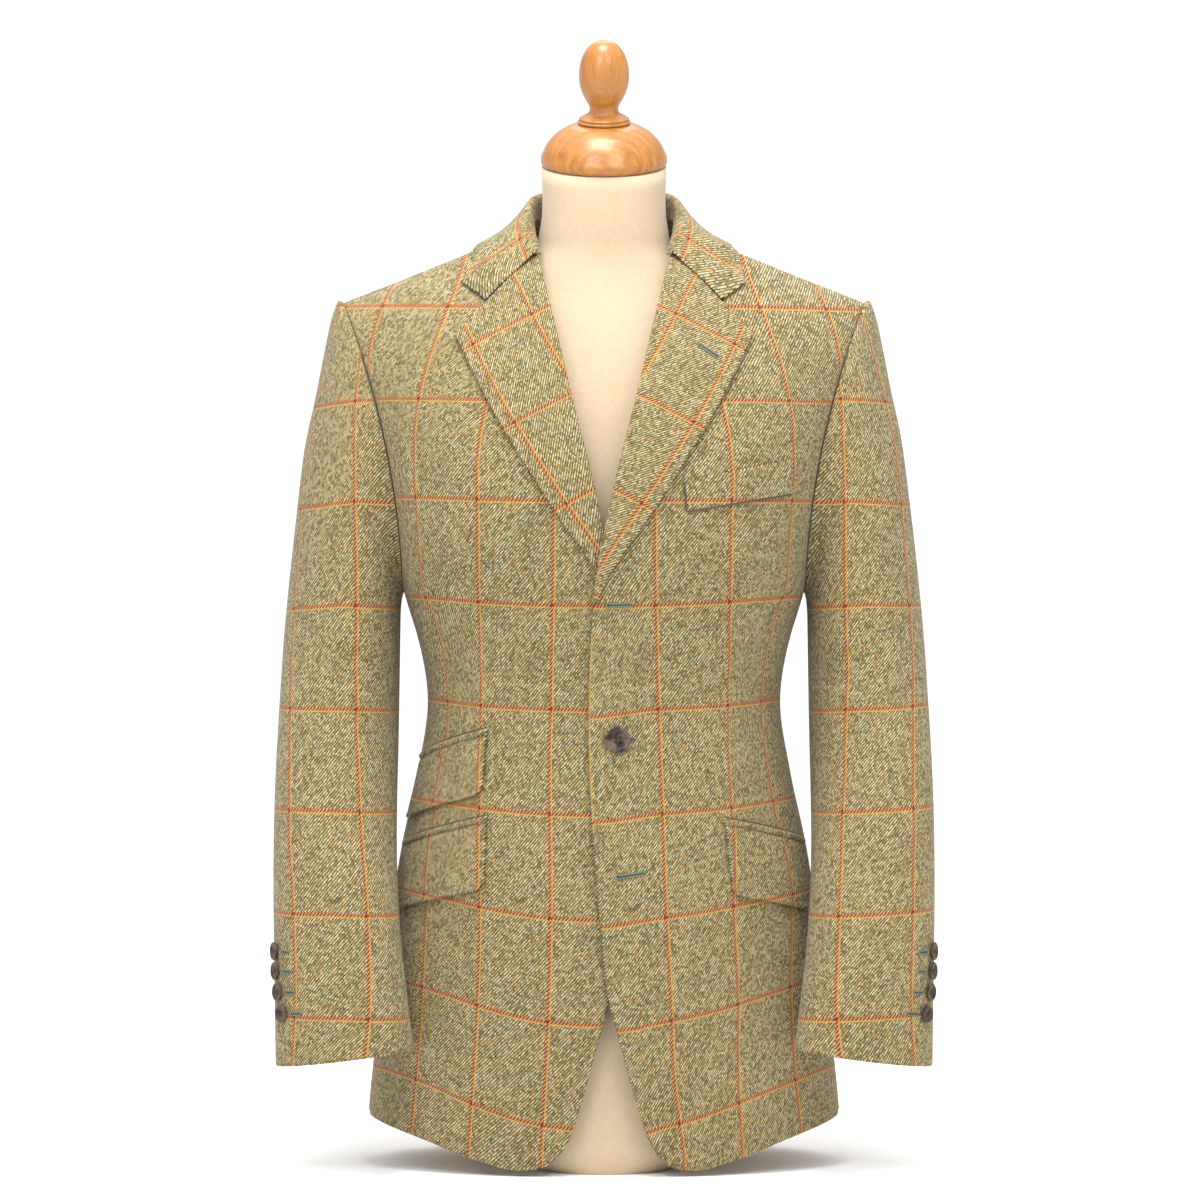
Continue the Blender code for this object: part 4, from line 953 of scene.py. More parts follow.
def add_collar(tweed):
    """The collar: both halves in one piece round the neck."""
    half = settle_fold(collar_points(), COLLAR_STAND_COLUMNS)
    normal = grid_normals(half)
    normal[0, :, 0] = 0.0
    across = run_length(half, 1)
    from_edge = across[:, -1:] - across
    along = run_length(half, 0)
    from_end = along[-1:] - along
    relief = stitched(np.minimum(from_edge, from_end + NO_STITCH * (1 - ease(across, *COLLAR_GORGE))))
    outer = half + relief[..., None] * normal
    inner = half - COLLAR_WALL * normal
    fold_along = along[:, COLLAR_STAND_COLUMNS:COLLAR_STAND_COLUMNS + 1]
    from_fold = across - across[:, COLLAR_STAND_COLUMNS:COLLAR_STAND_COLUMNS + 1]
    cloth = np.stack([fold_along - fold_along[-1] + COLLAR_LINE_FROM_END + 0 * across,
                      COLLAR_LINE_FROM_FOLD - from_fold], axis=-1)
    both = [np.concatenate([(points * MIRROR[-1])[:0:-1], points]) for points in (outer, inner)]
    both_cloth = np.concatenate([(cloth * MIRROR[-1][:2])[:0:-1], cloth])
    piece = add_shell("cloth_collar", both[0], both[1], both_cloth, tweed, "collar")
    declare_sheet(both[0])


# Pockets

FLAP_FINE_COLUMNS, FLAP_FINE_ROWS = 46, 34
FLAP_CORNER_BAND, FLAP_CORNER_STEPS = 0.16, 16         # share of a flap across with closer columns
FLAP_CORNER_POWER, FLAP_CORNER_SHARE = 4, 0.7          # how far up and how round the lower corner is
FLAP_TOP, FLAP_TOP_WIDTH = 0.6, 1.4                    # drop of its top edge and width of the turn there
BREAST_FINE_COLUMNS, BREAST_FINE_ROWS, ARMHOLE_SEAM_SHADE_STEPS = 48, 16, 60


def pocket_grid(flap, drop_from, drop_to, rows):
    """Angles and heights on the skirt between two drops below a pocket's mouth."""
    row = dict(zip(FLAP_COLUMNS, flap))
    near_angle = angle_at(row["front_x"], row["top_front"])
    across = edge_shares(FLAP_FINE_COLUMNS, FLAP_CORNER_BAND, FLAP_CORNER_STEPS)
    across, share = np.meshgrid(across, np.linspace(0.0, 1.0, rows + 1))
    drop = drop_from + share * (drop_to - drop_from)
    lean = row["slant"] * (drop / row["drop"]) * (1 - across) / SKIRT_RADIUS
    angle = near_angle + across * (row["far_angle"] - near_angle) + lean
    height = row["top_front"] + across * (row["top_far"] - row["top_front"]) - drop
    from_front = np.minimum(across * (row["far_angle"] - near_angle) * SKIRT_RADIUS, FLAP_CORNER)
    corner = FLAP_CORNER - np.sqrt(FLAP_CORNER ** 2 - (FLAP_CORNER - from_front) ** 2)
    rounding = FLAP_CORNER_SHARE if drop_to > 0 else 0.0
    return angle, height + share ** FLAP_CORNER_POWER * corner * rounding


def add_on_front(name, node, base, cloth, wall, clear, lift, relief, side, tweed):
    """A piece lying on a front: the front's own points moved out."""
    out = wall_direction(base)
    inner = base + (clear + lift)[..., None] * out
    outer = inner + (wall + relief)[..., None] * out
    piece = add_shell(name, on_side(outer, side), on_side(inner, side), cloth, tweed, node)
    declare_sheet(outer)


def add_seam_shade(name, edge, rise, side, shade_finish):
    """Painted shade along the sunk seam at an edge on a front: a fine near-black tube where the seam's shadow
    lies.
    """
    path = on_side(edge + rise * wall_direction(edge), side)
    add_tubes(name, [tube_points(path, np.full(len(path), SEAM_SHADE_RADIUS))], shade_finish)


def add_pockets(tweed, shade_finish):
    """Flaps with the welt above each, and the breast welt, with near-black tubes that paint the shade of the
    seams outlining the welts.
    """
    for flap in FLAPS:
        row = dict(zip(FLAP_COLUMNS, flap))
        label, side = row["name"], row["side"]
        angle, height = pocket_grid(flap, FLAP_TOP, row["drop"], FLAP_FINE_ROWS)
        base = section_point(angle, height)
        fallen = run_length(base, 0)
        relief = stitched(np.minimum(run_length(base, 1), fallen[-1:] - fallen))
        relief = relief - np.exp(-(fallen / FLAP_TOP_WIDTH) ** 2)
        lift = FLAP_LIFT * np.linspace(0.0, 1.0, len(base))[:, None] + 0 * angle
        add_on_front(f"cloth_flap_{label}", f"flap_{label}", base, skirt_map(angle, height, side), FLAP_WALL,
                     FLAP_CLEAR, lift, relief, side, tweed)
        angle, height = pocket_grid(flap, -WELT_HEIGHT, 0.0, WELT_ROWS)
        base = section_point(angle, height)
        roll = np.sin(math.pi * np.linspace(0.0, 1.0, WELT_ROWS + 1))[:, None] ** 0.5
        relief = WELT_ROLL * roll - WELT_SINK + 0 * angle
        add_on_front(f"cloth_welt_{label}", f"welt_{label}", base, skirt_map(angle, height, side), FLAP_WALL,
                     FLAP_CLEAR, 0 * angle, relief, side, tweed)
        add_seam_shade(f"seam_shade_welt_{label}", base[0], FLAP_SEAM_SHADE_RISE, side, shade_finish)
    across, up = np.meshgrid(np.linspace(0.0, 1.0, BREAST_FINE_COLUMNS + 1),
                             np.linspace(0.0, 1.0, BREAST_FINE_ROWS + 1))
    low, high = (edge[0] + across[..., None] * (edge[1] - edge[0]) for edge in (BREAST_LOWER, BREAST_UPPER))
    place = low + up[..., None] * (high - low)
    shares = chest_shares(place[..., 0], place[..., 1])
    base = chest(*shares)
    add_on_front("cloth_welt_breast", "welt_breast", base, chest_map(*shares, base, 1), BREAST_WALL,
                 BREAST_CLEAR, 0 * across, 0 * across, 1, tweed)
    add_seam_shade("seam_shade_welt_breast", np.concatenate([base[::-1, 0], base[0, 1:]]), BREAST_SEAM_SHADE_RISE, 1, shade_finish)


def add_armhole_seam_shades(shade_finish):
    """Near-black tubes that paint the shade in the sunk seam round the front of each armhole."""
    turns = np.linspace(*ARMHOLE_SEAM_SHADE_TURNS, ARMHOLE_SEAM_SHADE_STEPS)
    for side, label in SIDES:
        add_seam_shade(f"seam_shade_armhole_{label}", armhole_point(turns, True), 0.0, side, shade_finish)


# Finishes

TWILL_ACROSS, TWILL_UP = 2.7, 3.25
ROPE_ACROSS, ROPE_UP = 3.1, 3.75    # the coarser twill that shows in the check's lines
WARP_YARNS = ((0.0, (0.13, 0.10, 0.036)), (0.3, (0.26, 0.215, 0.10)), (0.6, (0.39, 0.285, 0.11)),
              (0.85, (0.53, 0.455, 0.255)), (1, (0.29, 0.31, 0.215)))
WEFT_YARNS = ((0.0, (0.028, 0.018, 0.004)), (0.45, (0.072, 0.049, 0.011)), (0.75, (0.14, 0.092, 0.021)),
              (1, (0.115, 0.105, 0.05)))
FLECKS = ((0.34, (0.84, 0.98, 1.12)), (0.5, (1.0, 1.0, 1.0)), (0.66, (1.16, 0.99, 0.82)))
RUST_DARK, RUST_LIGHT, GOLD = (0.12, 0.015, 0.003), (0.50, 0.20, 0.062), (0.42, 0.24, 0.045)
GOLD_ASIDE, GOLD_ABOVE, GOLD_HALF = 1.65, -1.95, 0.6       # millimetres from the middle of a line
RUST_ASIDE, RUST_ASIDE_HALF, RUST_ABOVE, RUST_ABOVE_HALF = -0.4, 1.4, 0.2, 1.5
LINE_COVER = 0.75                   # how far a line's own colour covers the yarns
STAGGER = 0.381                     # shift of one row of yarns to the next
JERSEY_COLOURS = ((0.3, (0.475, 0.36, 0.238)), (0.7, (0.505, 0.39, 0.262)))
WOOD_COLOURS = ((0.30, (0.215, 0.068, 0.009)), (0.5, (0.36, 0.14, 0.022)), (0.7, (0.46, 0.21, 0.043)))
FLOOR_COLOURS = ((0.3, (0.96, 0.96, 0.96)), (0.7, (0.98, 0.98, 0.98)))
GREY_HORN = ((0.018, 0.013, 0.011), (0.13, 0.092, 0.060))
DARK_HORN = ((0.012, 0.008, 0.006), (0.09, 0.055, 0.035))
# SEAM_SHADE_COLOUR is painted shade: near-black for the tubes laid in the sunk seams where their shadow
# falls.
# SLIT_SHADE_COLOUR is painted shade: near-black for the strip along each buttonhole's cut.
SEAM_SHADE_COLOUR, THREAD_COLOUR, SLIT_SHADE_COLOUR = (0.030, 0.026, 0.012), (0.12, 0.15, 0.095), (0.010, 0.011, 0.009)


class Nodes:
    """A material and short ways to add nodes to it."""

    def __init__(self, name):
        self.material = bpy.data.materials.new(name)
        self.material.use_nodes = True
        self.tree = self.material.node_tree
        self.shader = self.tree.nodes["Principled BSDF"]

    def fill(self, socket, value):
        """Sets a socket to a constant, or joins another node's socket to it."""
        if isinstance(value, bpy.types.NodeSocket):
            self.tree.links.new(value, socket)
        else:
            socket.default_value = value

    def math(self, operation, *values):
        node = self.tree.nodes.new("ShaderNodeMath")
        node.operation = operation
        for socket, value in zip(node.inputs, values):
            self.fill(socket, value)
        return node.outputs["Value"]

    def noise(self, vector, scale, detail=2.0, roughness=0.5):
        node = self.tree.nodes.new("ShaderNodeTexNoise")
        self.fill(node.inputs["Vector"], vector)
        node.inputs["Scale"].default_value = scale
        node.inputs["Detail"].default_value = detail
        node.inputs["Roughness"].default_value = roughness
        return node.outputs["Fac"]

    def chance(self, *values):
        node = self.tree.nodes.new("ShaderNodeTexWhiteNoise")
        node.noise_dimensions = "2D"
        self.fill(node.inputs["Vector"], self.vector(*values, 0.0))
        return node.outputs["Value"]

    def step(self, value, low, high):
        node = self.tree.nodes.new("ShaderNodeMapRange")
        node.interpolation_type = "SMOOTHSTEP"
        self.fill(node.inputs["Value"], value)
        node.inputs["From Min"].default_value = low
        node.inputs["From Max"].default_value = high
        return node.outputs["Result"]

    def vector(self, *values):
        node = self.tree.nodes.new("ShaderNodeCombineXYZ")
        for socket, value in zip(node.inputs, values):
            self.fill(socket, value)
        return node.outputs["Vector"]

    def ramp(self, value, stops):
        node = self.tree.nodes.new("ShaderNodeValToRGB")
        while len(node.color_ramp.elements) < len(stops):
            node.color_ramp.elements.new(0.5)
        for element, (place, colour) in zip(node.color_ramp.elements, stops):
            element.position = place
            element.color = (*colour, 1.0)
        self.fill(node.inputs["Fac"], value)
        return node.outputs["Color"]

    def mix(self, share, first, second, blend="MIX"):
        node = self.tree.nodes.new("ShaderNodeMix")
        node.data_type = "RGBA"
        node.blend_type = blend
        self.fill(node.inputs["Factor"], share)
        for socket, value in zip((node.inputs[6], node.inputs[7]), (first, second)):
            self.fill(socket, (*value, 1.0) if isinstance(value, tuple) else value)
        return node.outputs[2]

    def bump(self, height, strength, distance):
        node = self.tree.nodes.new("ShaderNodeBump")
        node.inputs["Strength"].default_value = strength
        node.inputs["Distance"].default_value = distance
        self.fill(node.inputs["Height"], height)
        self.tree.links.new(node.outputs["Normal"], self.shader.inputs["Normal"])

    def object_place(self):
        return self.tree.nodes.new("ShaderNodeTexCoord").outputs["Object"]

    def set(self, **values):
        for name, value in values.items():
            self.fill(self.shader.inputs[name.replace("_", " ")], value)


def tweed_finish():
    """Twill of mixed yarns with a windowpane of rust and gold lines."""
    nodes = Nodes("tweed")
    uv = nodes.tree.nodes.new("ShaderNodeUVMap")
    uv.uv_map = "cloth"
    split = nodes.tree.nodes.new("ShaderNodeSeparateXYZ")
    nodes.tree.links.new(uv.outputs["UV"], split.inputs["Vector"])
    across = nodes.math("MULTIPLY", split.outputs["X"], UV_SCALE)
    up = nodes.math("MULTIPLY", split.outputs["Y"], UV_SCALE)
    plane = nodes.vector(across, up, 0.0)
    waver = nodes.math("MULTIPLY", nodes.math("SUBTRACT", nodes.noise(plane, 0.2), 0.5), 0.5)

    def twill(operation, pitch_across, pitch_up):
        """How many ridges lie between the origin and a place."""
        ridges_across = nodes.math("DIVIDE", across, pitch_across)
        return nodes.math(operation, ridges_across, nodes.math("DIVIDE", up, pitch_up))

    def zigzag(value):
        """Falls from 1 to 0 and rises again in each ridge."""
        middle = nodes.math("SUBTRACT", nodes.math("FRACT", value), 0.5)
        return nodes.math("MULTIPLY", nodes.math("ABSOLUTE", middle), 2.0)

    phase = nodes.math("ADD", twill("SUBTRACT", TWILL_ACROSS, TWILL_UP), waver)
    wave = zigzag(phase)
    run = twill("ADD", TWILL_ACROSS, TWILL_UP)
    row = nodes.math("FLOOR", phase)
    stagger = nodes.math("FRACT", nodes.math("MULTIPLY", row, STAGGER))
    warp = nodes.ramp(nodes.chance(row, nodes.math("FLOOR", nodes.math("ADD", run, stagger))), WARP_YARNS)
    weft_row = nodes.math("FLOOR", nodes.math("ADD", phase, 0.5))
    weft = nodes.ramp(nodes.chance(nodes.math("ADD", weft_row, 0.5), nodes.math("FLOOR", run)), WEFT_YARNS)
    on_top = nodes.math("SMOOTH_MIN", nodes.math("MULTIPLY_ADD", wave, -3.0, 2.15), 1.0, 0.2)
    yarn = nodes.mix(on_top, weft, warp)
    shade = nodes.math("MULTIPLY_ADD", nodes.noise(plane, 0.42, 3.0, 0.7), 0.9, 0.55)
    cloud = nodes.math("MULTIPLY_ADD", nodes.noise(plane, 0.03, 2.0), 0.22, 0.80)
    lit = nodes.math("MULTIPLY", shade, cloud)
    colour = nodes.mix(1.0, yarn, nodes.vector(lit, lit, lit), "MULTIPLY")
    colour = nodes.mix(1.0, colour, nodes.ramp(nodes.noise(plane, 0.22, 2.0, 0.6), FLECKS), "MULTIPLY")

    def offset(value, repeat):
        """Signed distance from the nearest line of the check."""
        turns = nodes.math("FRACT", nodes.math("ADD", nodes.math("DIVIDE", value, repeat), 0.5))
        away = nodes.math("MULTIPLY", nodes.math("SUBTRACT", turns, 0.5), repeat)
        return nodes.math("ADD", away, nodes.math("MULTIPLY", waver, 0.7))

    aside, above = offset(across, CHECK_ACROSS), offset(up, CHECK_UP)
    rope = zigzag(twill("SUBTRACT", ROPE_ACROSS, ROPE_UP))
    raised = nodes.step(rope, 0.30, 0.62)
    sunken = nodes.math("SUBTRACT", 1.0, nodes.step(rope, 0.38, 0.70))
    gold = nodes.math("MAXIMUM", nodes.math("COMPARE", aside, GOLD_ASIDE, GOLD_HALF),
                      nodes.math("COMPARE", above, GOLD_ABOVE, GOLD_HALF))
    rust_aside = nodes.math("COMPARE", aside, RUST_ASIDE, RUST_ASIDE_HALF)
    rust_above = nodes.math("COMPARE", above, RUST_ABOVE, RUST_ABOVE_HALF)
    crossing = nodes.math("MULTIPLY", rust_aside, rust_above)
    rust = nodes.math("MAXIMUM", nodes.math("MULTIPLY", rust_aside, raised),
                      nodes.math("MULTIPLY", rust_above, sunken))
    band = nodes.math("MAXIMUM", rust_aside, rust_above)
    colour = nodes.mix(nodes.math("MULTIPLY", gold, LINE_COVER), colour, GOLD)
    colour = nodes.mix(nodes.math("MULTIPLY", band, LINE_COVER), colour, RUST_LIGHT)
    colour = nodes.mix(nodes.math("MAXIMUM", rust, crossing), colour, RUST_DARK)
    nodes.set(Base_Color=colour, Roughness=0.95, Sheen_Weight=0.06, Sheen_Roughness=0.6)
    height = nodes.math("ADD", nodes.math("MULTIPLY", wave, 0.6), nodes.noise(plane, 1.3, 2.0))
    nodes.bump(height, 0.25, 0.0004)
    return nodes.material


def jersey_finish():
    """Cream cotton jersey with fine knit columns."""
    nodes = Nodes("jersey")
    place = nodes.object_place()
    colour = nodes.ramp(nodes.noise(place, 220.0, 3.0), JERSEY_COLOURS)
    nodes.set(Base_Color=colour, Roughness=0.88, Sheen_Weight=0.15)
    nodes.bump(nodes.noise(place, 900.0, 2.0), 0.25, 0.0003)
    return nodes.material


def wood_finish(name, stretch):
    """Varnished beech: fine grain and flecks under a thin coat."""
    nodes = Nodes(name)
    mapping = nodes.tree.nodes.new("ShaderNodeMapping")
    mapping.inputs["Scale"].default_value = stretch
    nodes.tree.links.new(nodes.object_place(), mapping.inputs["Vector"])
    grain = nodes.noise(mapping.outputs["Vector"], 60.0, 6.0, 0.65)
    fleck = nodes.noise(mapping.outputs["Vector"], 420.0, 2.0)
    tone = nodes.math("ADD", nodes.math("MULTIPLY", grain, 0.75), nodes.math("MULTIPLY", fleck, 0.25))
    nodes.set(Base_Color=nodes.ramp(tone, WOOD_COLOURS), Roughness=0.42, Coat_Weight=0.3, Coat_Roughness=0.16)
    nodes.bump(tone, 0.08, 0.0004)
    return nodes.material


def horn_finish(name, dark, pale):
    """Polished horn, mottled from dark to pale."""
    nodes = Nodes(name)
    tone = nodes.noise(nodes.object_place(), 130.0, 3.0, 0.55)
    colour = nodes.ramp(tone, ((0.36, dark), (0.58, pale)))
    nodes.set(Base_Color=colour, Roughness=0.42, Specular_IOR_Level=0.25)
    nodes.bump(nodes.noise(nodes.object_place(), 700.0), 0.05, 0.0002)
    return nodes.material


def thread_finish(name, colour):
    """Silk thread, slightly uneven in colour; given a near-black colour it also paints shade in seams and
    buttonhole cuts.
    """
    nodes = Nodes(name)
    tone = nodes.noise(nodes.object_place(), 1600.0, 2.0)
    darker = tuple(0.6 * part for part in colour)
    nodes.set(Base_Color=nodes.ramp(tone, ((0.3, darker), (0.7, colour))), Roughness=0.6, Sheen_Weight=0.2)
    nodes.bump(tone, 0.3, 0.0002)
    return nodes.material


def floor_finish():
    """Pale matt floor."""
    nodes = Nodes("floor")
    tone = nodes.noise(nodes.object_place(), 3.0)
    nodes.set(Base_Color=nodes.ramp(tone, FLOOR_COLOURS), Roughness=0.9)
    return nodes.material


# Dress form

FORM = (
    (0, 66, 103, 104),
    (4, 80, 105, 106),
    (8, 96, 106, 107),
    (14, 116, 107, 108),
    (24, 142, 107, 108),
    (36, 165, 107, 108),
    (50, 177, 107, 108),
    (66, 181, 107.5, 108),
    (110, 181, 109, 108),
    (190, 171, 109, 105),
    (275, 158, 107, 98),
    (335, 146, 103, 90),
    (398, 137, 101, 84),
    (450, 144, 108, 92),
    (500, 154, 114, 101),
    (570, 159, 112, 105),
    (640, 160, 98, 102),
    (690, 152, 80, 84),
    (722, 134, 66, 68),
    (745, 104, 56, 56),
    (764, 78, 51, 50),
    (780, 61, 49.5, 48),
    (800, 55, 50, 48),
    (854, 53.3, 51.5, 49.5),
)
FORM_SIDES, FORM_STEPS = 120, 5
NECK_TILT, NECK_LEAN = 0.28, -4.0
NECK_TILT_FROM, NECK_TILT_FULL = 760.0, 850.0
CAP_PROFILE = ((0.0, 36.0), (23.0, 36.0), (37.0, 30.2), (47.5, 20.5), (53.2, 10.0), (54.3, 5.0),
               (53.6, 1.6), (51.5, 0))
FINIAL_PROFILE = ((0.0, 71.5), (6.0, 70.8), (12.0, 67.3), (17.2, 60.5), (20.6, 51.0), (21.6, 41.5),
                  (20.4, 31.5), (16.8, 22.5), (13.1, 16), (12.4, 12), (13.9, 8.8), (18.4, 6.4),
                  (21.4, 4.4), (20.8, 3.2), (22.6, 2), (22.2, 0.3), (19.5, 0))
TURNED_SIDES, TURNED_STEPS = 96, 7
WOOD_GAP, PIN_RADIUS = 0.4, 0.05      # the wood's clearance, and the least radius of a turned piece


def tube_faces(rings, sides, closed=False):
    """Faces of a tube of rings: with both ends covered, or closed to a loop."""
    faces = []
    for ring in range(rings if closed else rings - 1):
        for item in range(sides):
            following = (item + 1) % sides
            low, high = ring * sides, (ring + 1) % rings * sides
            faces.append((low + item, low + following, high + following, high + item))
    if closed:
        return faces
    faces.append(tuple(range(sides)))
    faces.append(tuple((rings - 1) * sides + item for item in range(sides)))
    return faces


def add_form_body(jersey):
    """The covered torso with its neck, the neck's top falling to the front."""
    knots = column(FORM, SECTION_COLUMNS, "height")
    heights = np.unique(np.concatenate([np.linspace(low, high, FORM_STEPS + 1)
                                        for low, high in zip(knots[:-1], knots[1:])]))
    angle, height = np.meshgrid(np.arange(FORM_SIDES) / FORM_SIDES * 2 * math.pi, heights)
    rings = section_point(angle, height, FORM)
    share = ease(rings[..., 2], NECK_TILT_FROM, NECK_TILT_FULL)
    rings[..., 2] += NECK_TILT * share * rings[..., 1]
    rings[..., 1] += NECK_LEAN * share
    faces = tube_faces(len(heights), FORM_SIDES)
    return add_mesh("dress_form", rings.reshape(-1, 3), faces, None, jersey, "form_body")


def axes_for(axis):
    """Two directions square to an axis and to each other."""
    helper = np.array([0.0, 0.0, 1.0]) if abs(axis[2]) < 0.9 else np.array([0.0, 1.0, 0.0])
    first = unit(np.cross(helper, axis))
    return first, np.cross(axis, first)


def turned_points(profile, sides, steps, middle, axis):
    """Points of a turned solid, its profile smoothed between the given radii and heights."""
    knots = np.arange(len(profile), dtype=float)
    places = np.linspace(0.0, len(profile) - 1.0, (len(profile) - 1) * steps + 1)
    radius = smooth(knots, np.array(profile)[:, 0], places)
    height = smooth(knots, np.array(profile)[:, 1], places)
    radius[0] = PIN_RADIUS
    turn = np.arange(sides) / sides * 2 * math.pi
    first, second = axes_for(axis)
    spin = np.cos(turn)[:, None] * first + np.sin(turn)[:, None] * second
    return middle + height[:, None, None] * axis + np.maximum(radius, PIN_RADIUS)[:, None, None] * spin


def add_wood(cap_wood, finial_wood):
    """The turned neck cap and the finial on it."""
    axis = unit(np.array([0.0, -NECK_TILT, 1.0]))
    seat = np.array([0.0, NECK_LEAN, FORM[-1][0]]) + WOOD_GAP * axis
    top = seat + (CAP_PROFILE[0][1] + WOOD_GAP) * axis
    for name, profile, place, wood in (("cap", CAP_PROFILE, seat, cap_wood),
                                       ("finial", FINIAL_PROFILE, top, finial_wood)):
        rings = turned_points(profile, TURNED_SIDES, TURNED_STEPS, place, axis)
        faces = tube_faces(len(rings), TURNED_SIDES)
        points = rings.reshape(-1, 3)
        add_mesh(f"wood_{name}", points, faces, None, wood, f"form_{name}")


# Buttons and buttonholes

FRONT_BUTTON_X, FRONT_BUTTON_Z, FRONT_BUTTON_RADIUS = 11.3, 366.0, 10.8
CUFF_BUTTONS = ((188.0, 0.34), (171.5, 0.37), (154.5, 0.44), (137.0, 0.55))
CUFF_BUTTON_RADIUS = 7.6
BUTTON_CLEAR = 1.0
BUTTON_PROFILE = ((0.0, 2.2), (0.55, 2.2), (0.72, 3.4), (0.9, 3.6), (1.0, 2.4), (0.92, 0.8), (0.6, 0.0))
BUTTON_SIDES = 64
HOLE_RING, HOLE_RADIUS, HOLE_DEPTH = 0.25, 0.10, 1.4
HOLE_SPREAD, HOLE_RIM = 0.25 * math.pi, (0.7, 1.2)
DISH_START, DISH_END, DISH_STEPS, RIM_STEPS = 0.02, 0.8, 26, 34
THREAD_RADIUS, THREAD_SINK, THREAD_RISE, THREAD_STEPS = 0.42, 0.9, 1.25, 9

BUTTONHOLE_COLUMNS = ("name", "x0", "z0", "x1", "z1")
FRONT_BUTTONHOLES = (
    ("buttonhole_top", 1.7, 478.2, 23.4, 478.6),
    ("buttonhole_middle", 3, 365.4, 25.5, 366.6),
    ("buttonhole_bottom", 10, 251.5, 34.2, 255),
)
LAPEL_BUTTONHOLE = ((77.6, 696.0), (95.9, 685.9))
CUFF_BUTTONHOLE_TURNS = (0.20, 0.42)
BUTTONHOLE_HALF_WIDTH, EYELET_HALF_WIDTH, STITCH_RADIUS = 1.15, 1.6, 0.8
BUTTONHOLE_STEPS, STITCHES = 44, 34
BUTTONHOLE_RISE, FINE_RISE = 0.9, 0.3           # how far out on the fronts, and on the lapel and cuffs
EYELET_PLACE, END_STEEPNESS, STITCH_SWELL = 0.07, 18.0, 0.22
SLIT_SHADE_RISE, SLIT_SHADE_WALL = 0.12, 0.1
CUFF_SEARCH = 601                               # places tried along the sleeve for a cuff button


def tube_points(path, radius, sides=8):
    """Rings of a round tube along a path; the radius may change along it."""
    along = unit(np.gradient(path, axis=0))
    helper = np.where(np.abs(along[:, 2:]) < 0.8, [0.0, 0.0, 1.0], [1.0, 0.0, 0.0])
    first = unit(np.cross(helper, along))
    second = np.cross(along, first)
    turn = np.arange(sides) / sides * 2 * math.pi
    spin = np.cos(turn)[None, :, None] * first[:, None] + np.sin(turn)[None, :, None] * second[:, None]
    return path[:, None] + np.reshape(radius, (-1, 1, 1)) * spin


def add_tubes(name, tubes, material):
    """Several round tubes as one piece."""
    points, faces = [], []
    for rings in tubes:
        start = sum(len(part) for part in points)
        faces.extend(tuple(start + corner for corner in face) for face in tube_faces(*rings.shape[:2]))
        points.append(rings.reshape(-1, 3))
    return add_mesh(name, np.concatenate(points), faces, None, material)


def add_button(label, radius, seat, axis, horn, thread):
    """A dished horn button with four sunk holes, sewn on with two bars of thread."""
    size = radius / FRONT_BUTTON_RADIUS
    knots = np.arange(len(BUTTON_PROFILE), dtype=float)
    dish = np.linspace(DISH_START, DISH_END, DISH_STEPS, endpoint=False)
    places = np.concatenate([dish, np.linspace(DISH_END, knots[-1], RIM_STEPS)])
    share = smooth(knots, np.array(BUTTON_PROFILE)[:, 0], places)[:, None]
    height = smooth(knots, np.array(BUTTON_PROFILE)[:, 1], places)[:, None]
    turn = np.arange(BUTTON_SIDES)[None, :] / BUTTON_SIDES * 2 * math.pi
    across, up = share * np.cos(turn), share * np.sin(turn)
    height = height + 0 * turn
    holes = [(HOLE_RING * math.cos(spot), HOLE_RING * math.sin(spot))
             for spot in HOLE_SPREAD + np.arange(4) * math.pi / 2]
    for hole_across, hole_up in holes:
        away = np.hypot(across - hole_across, up - hole_up) / HOLE_RADIUS
        height -= HOLE_DEPTH * (1 - ease(away, *HOLE_RIM)) * (places < 1.0)[:, None]
    first, second = axes_for(axis)
    rings = seat + (radius * across[..., None] * first + radius * up[..., None] * second
                    + size * height[..., None] * axis)
    faces = tube_faces(len(places), BUTTON_SIDES)
    add_mesh(f"horn_{label}", rings.reshape(-1, 3), faces, None, horn, label)
    bars = []
    for start, end in ((0, 3), (1, 2)):
        share = np.linspace(0.0, 1.0, THREAD_STEPS)[:, None]
        flat = np.array(holes[start]) + share * (np.array(holes[end]) - np.array(holes[start]))
        rise = size * (BUTTON_PROFILE[0][1] - THREAD_SINK + THREAD_RISE * np.sin(math.pi * share) ** 0.5)
        path = seat + radius * flat[:, :1] * first + radius * flat[:, 1:] * second + rise * axis
        bars.append(tube_points(path, np.full(len(path), THREAD_RADIUS * size)))
    add_tubes(f"thread_{label}", bars, thread)


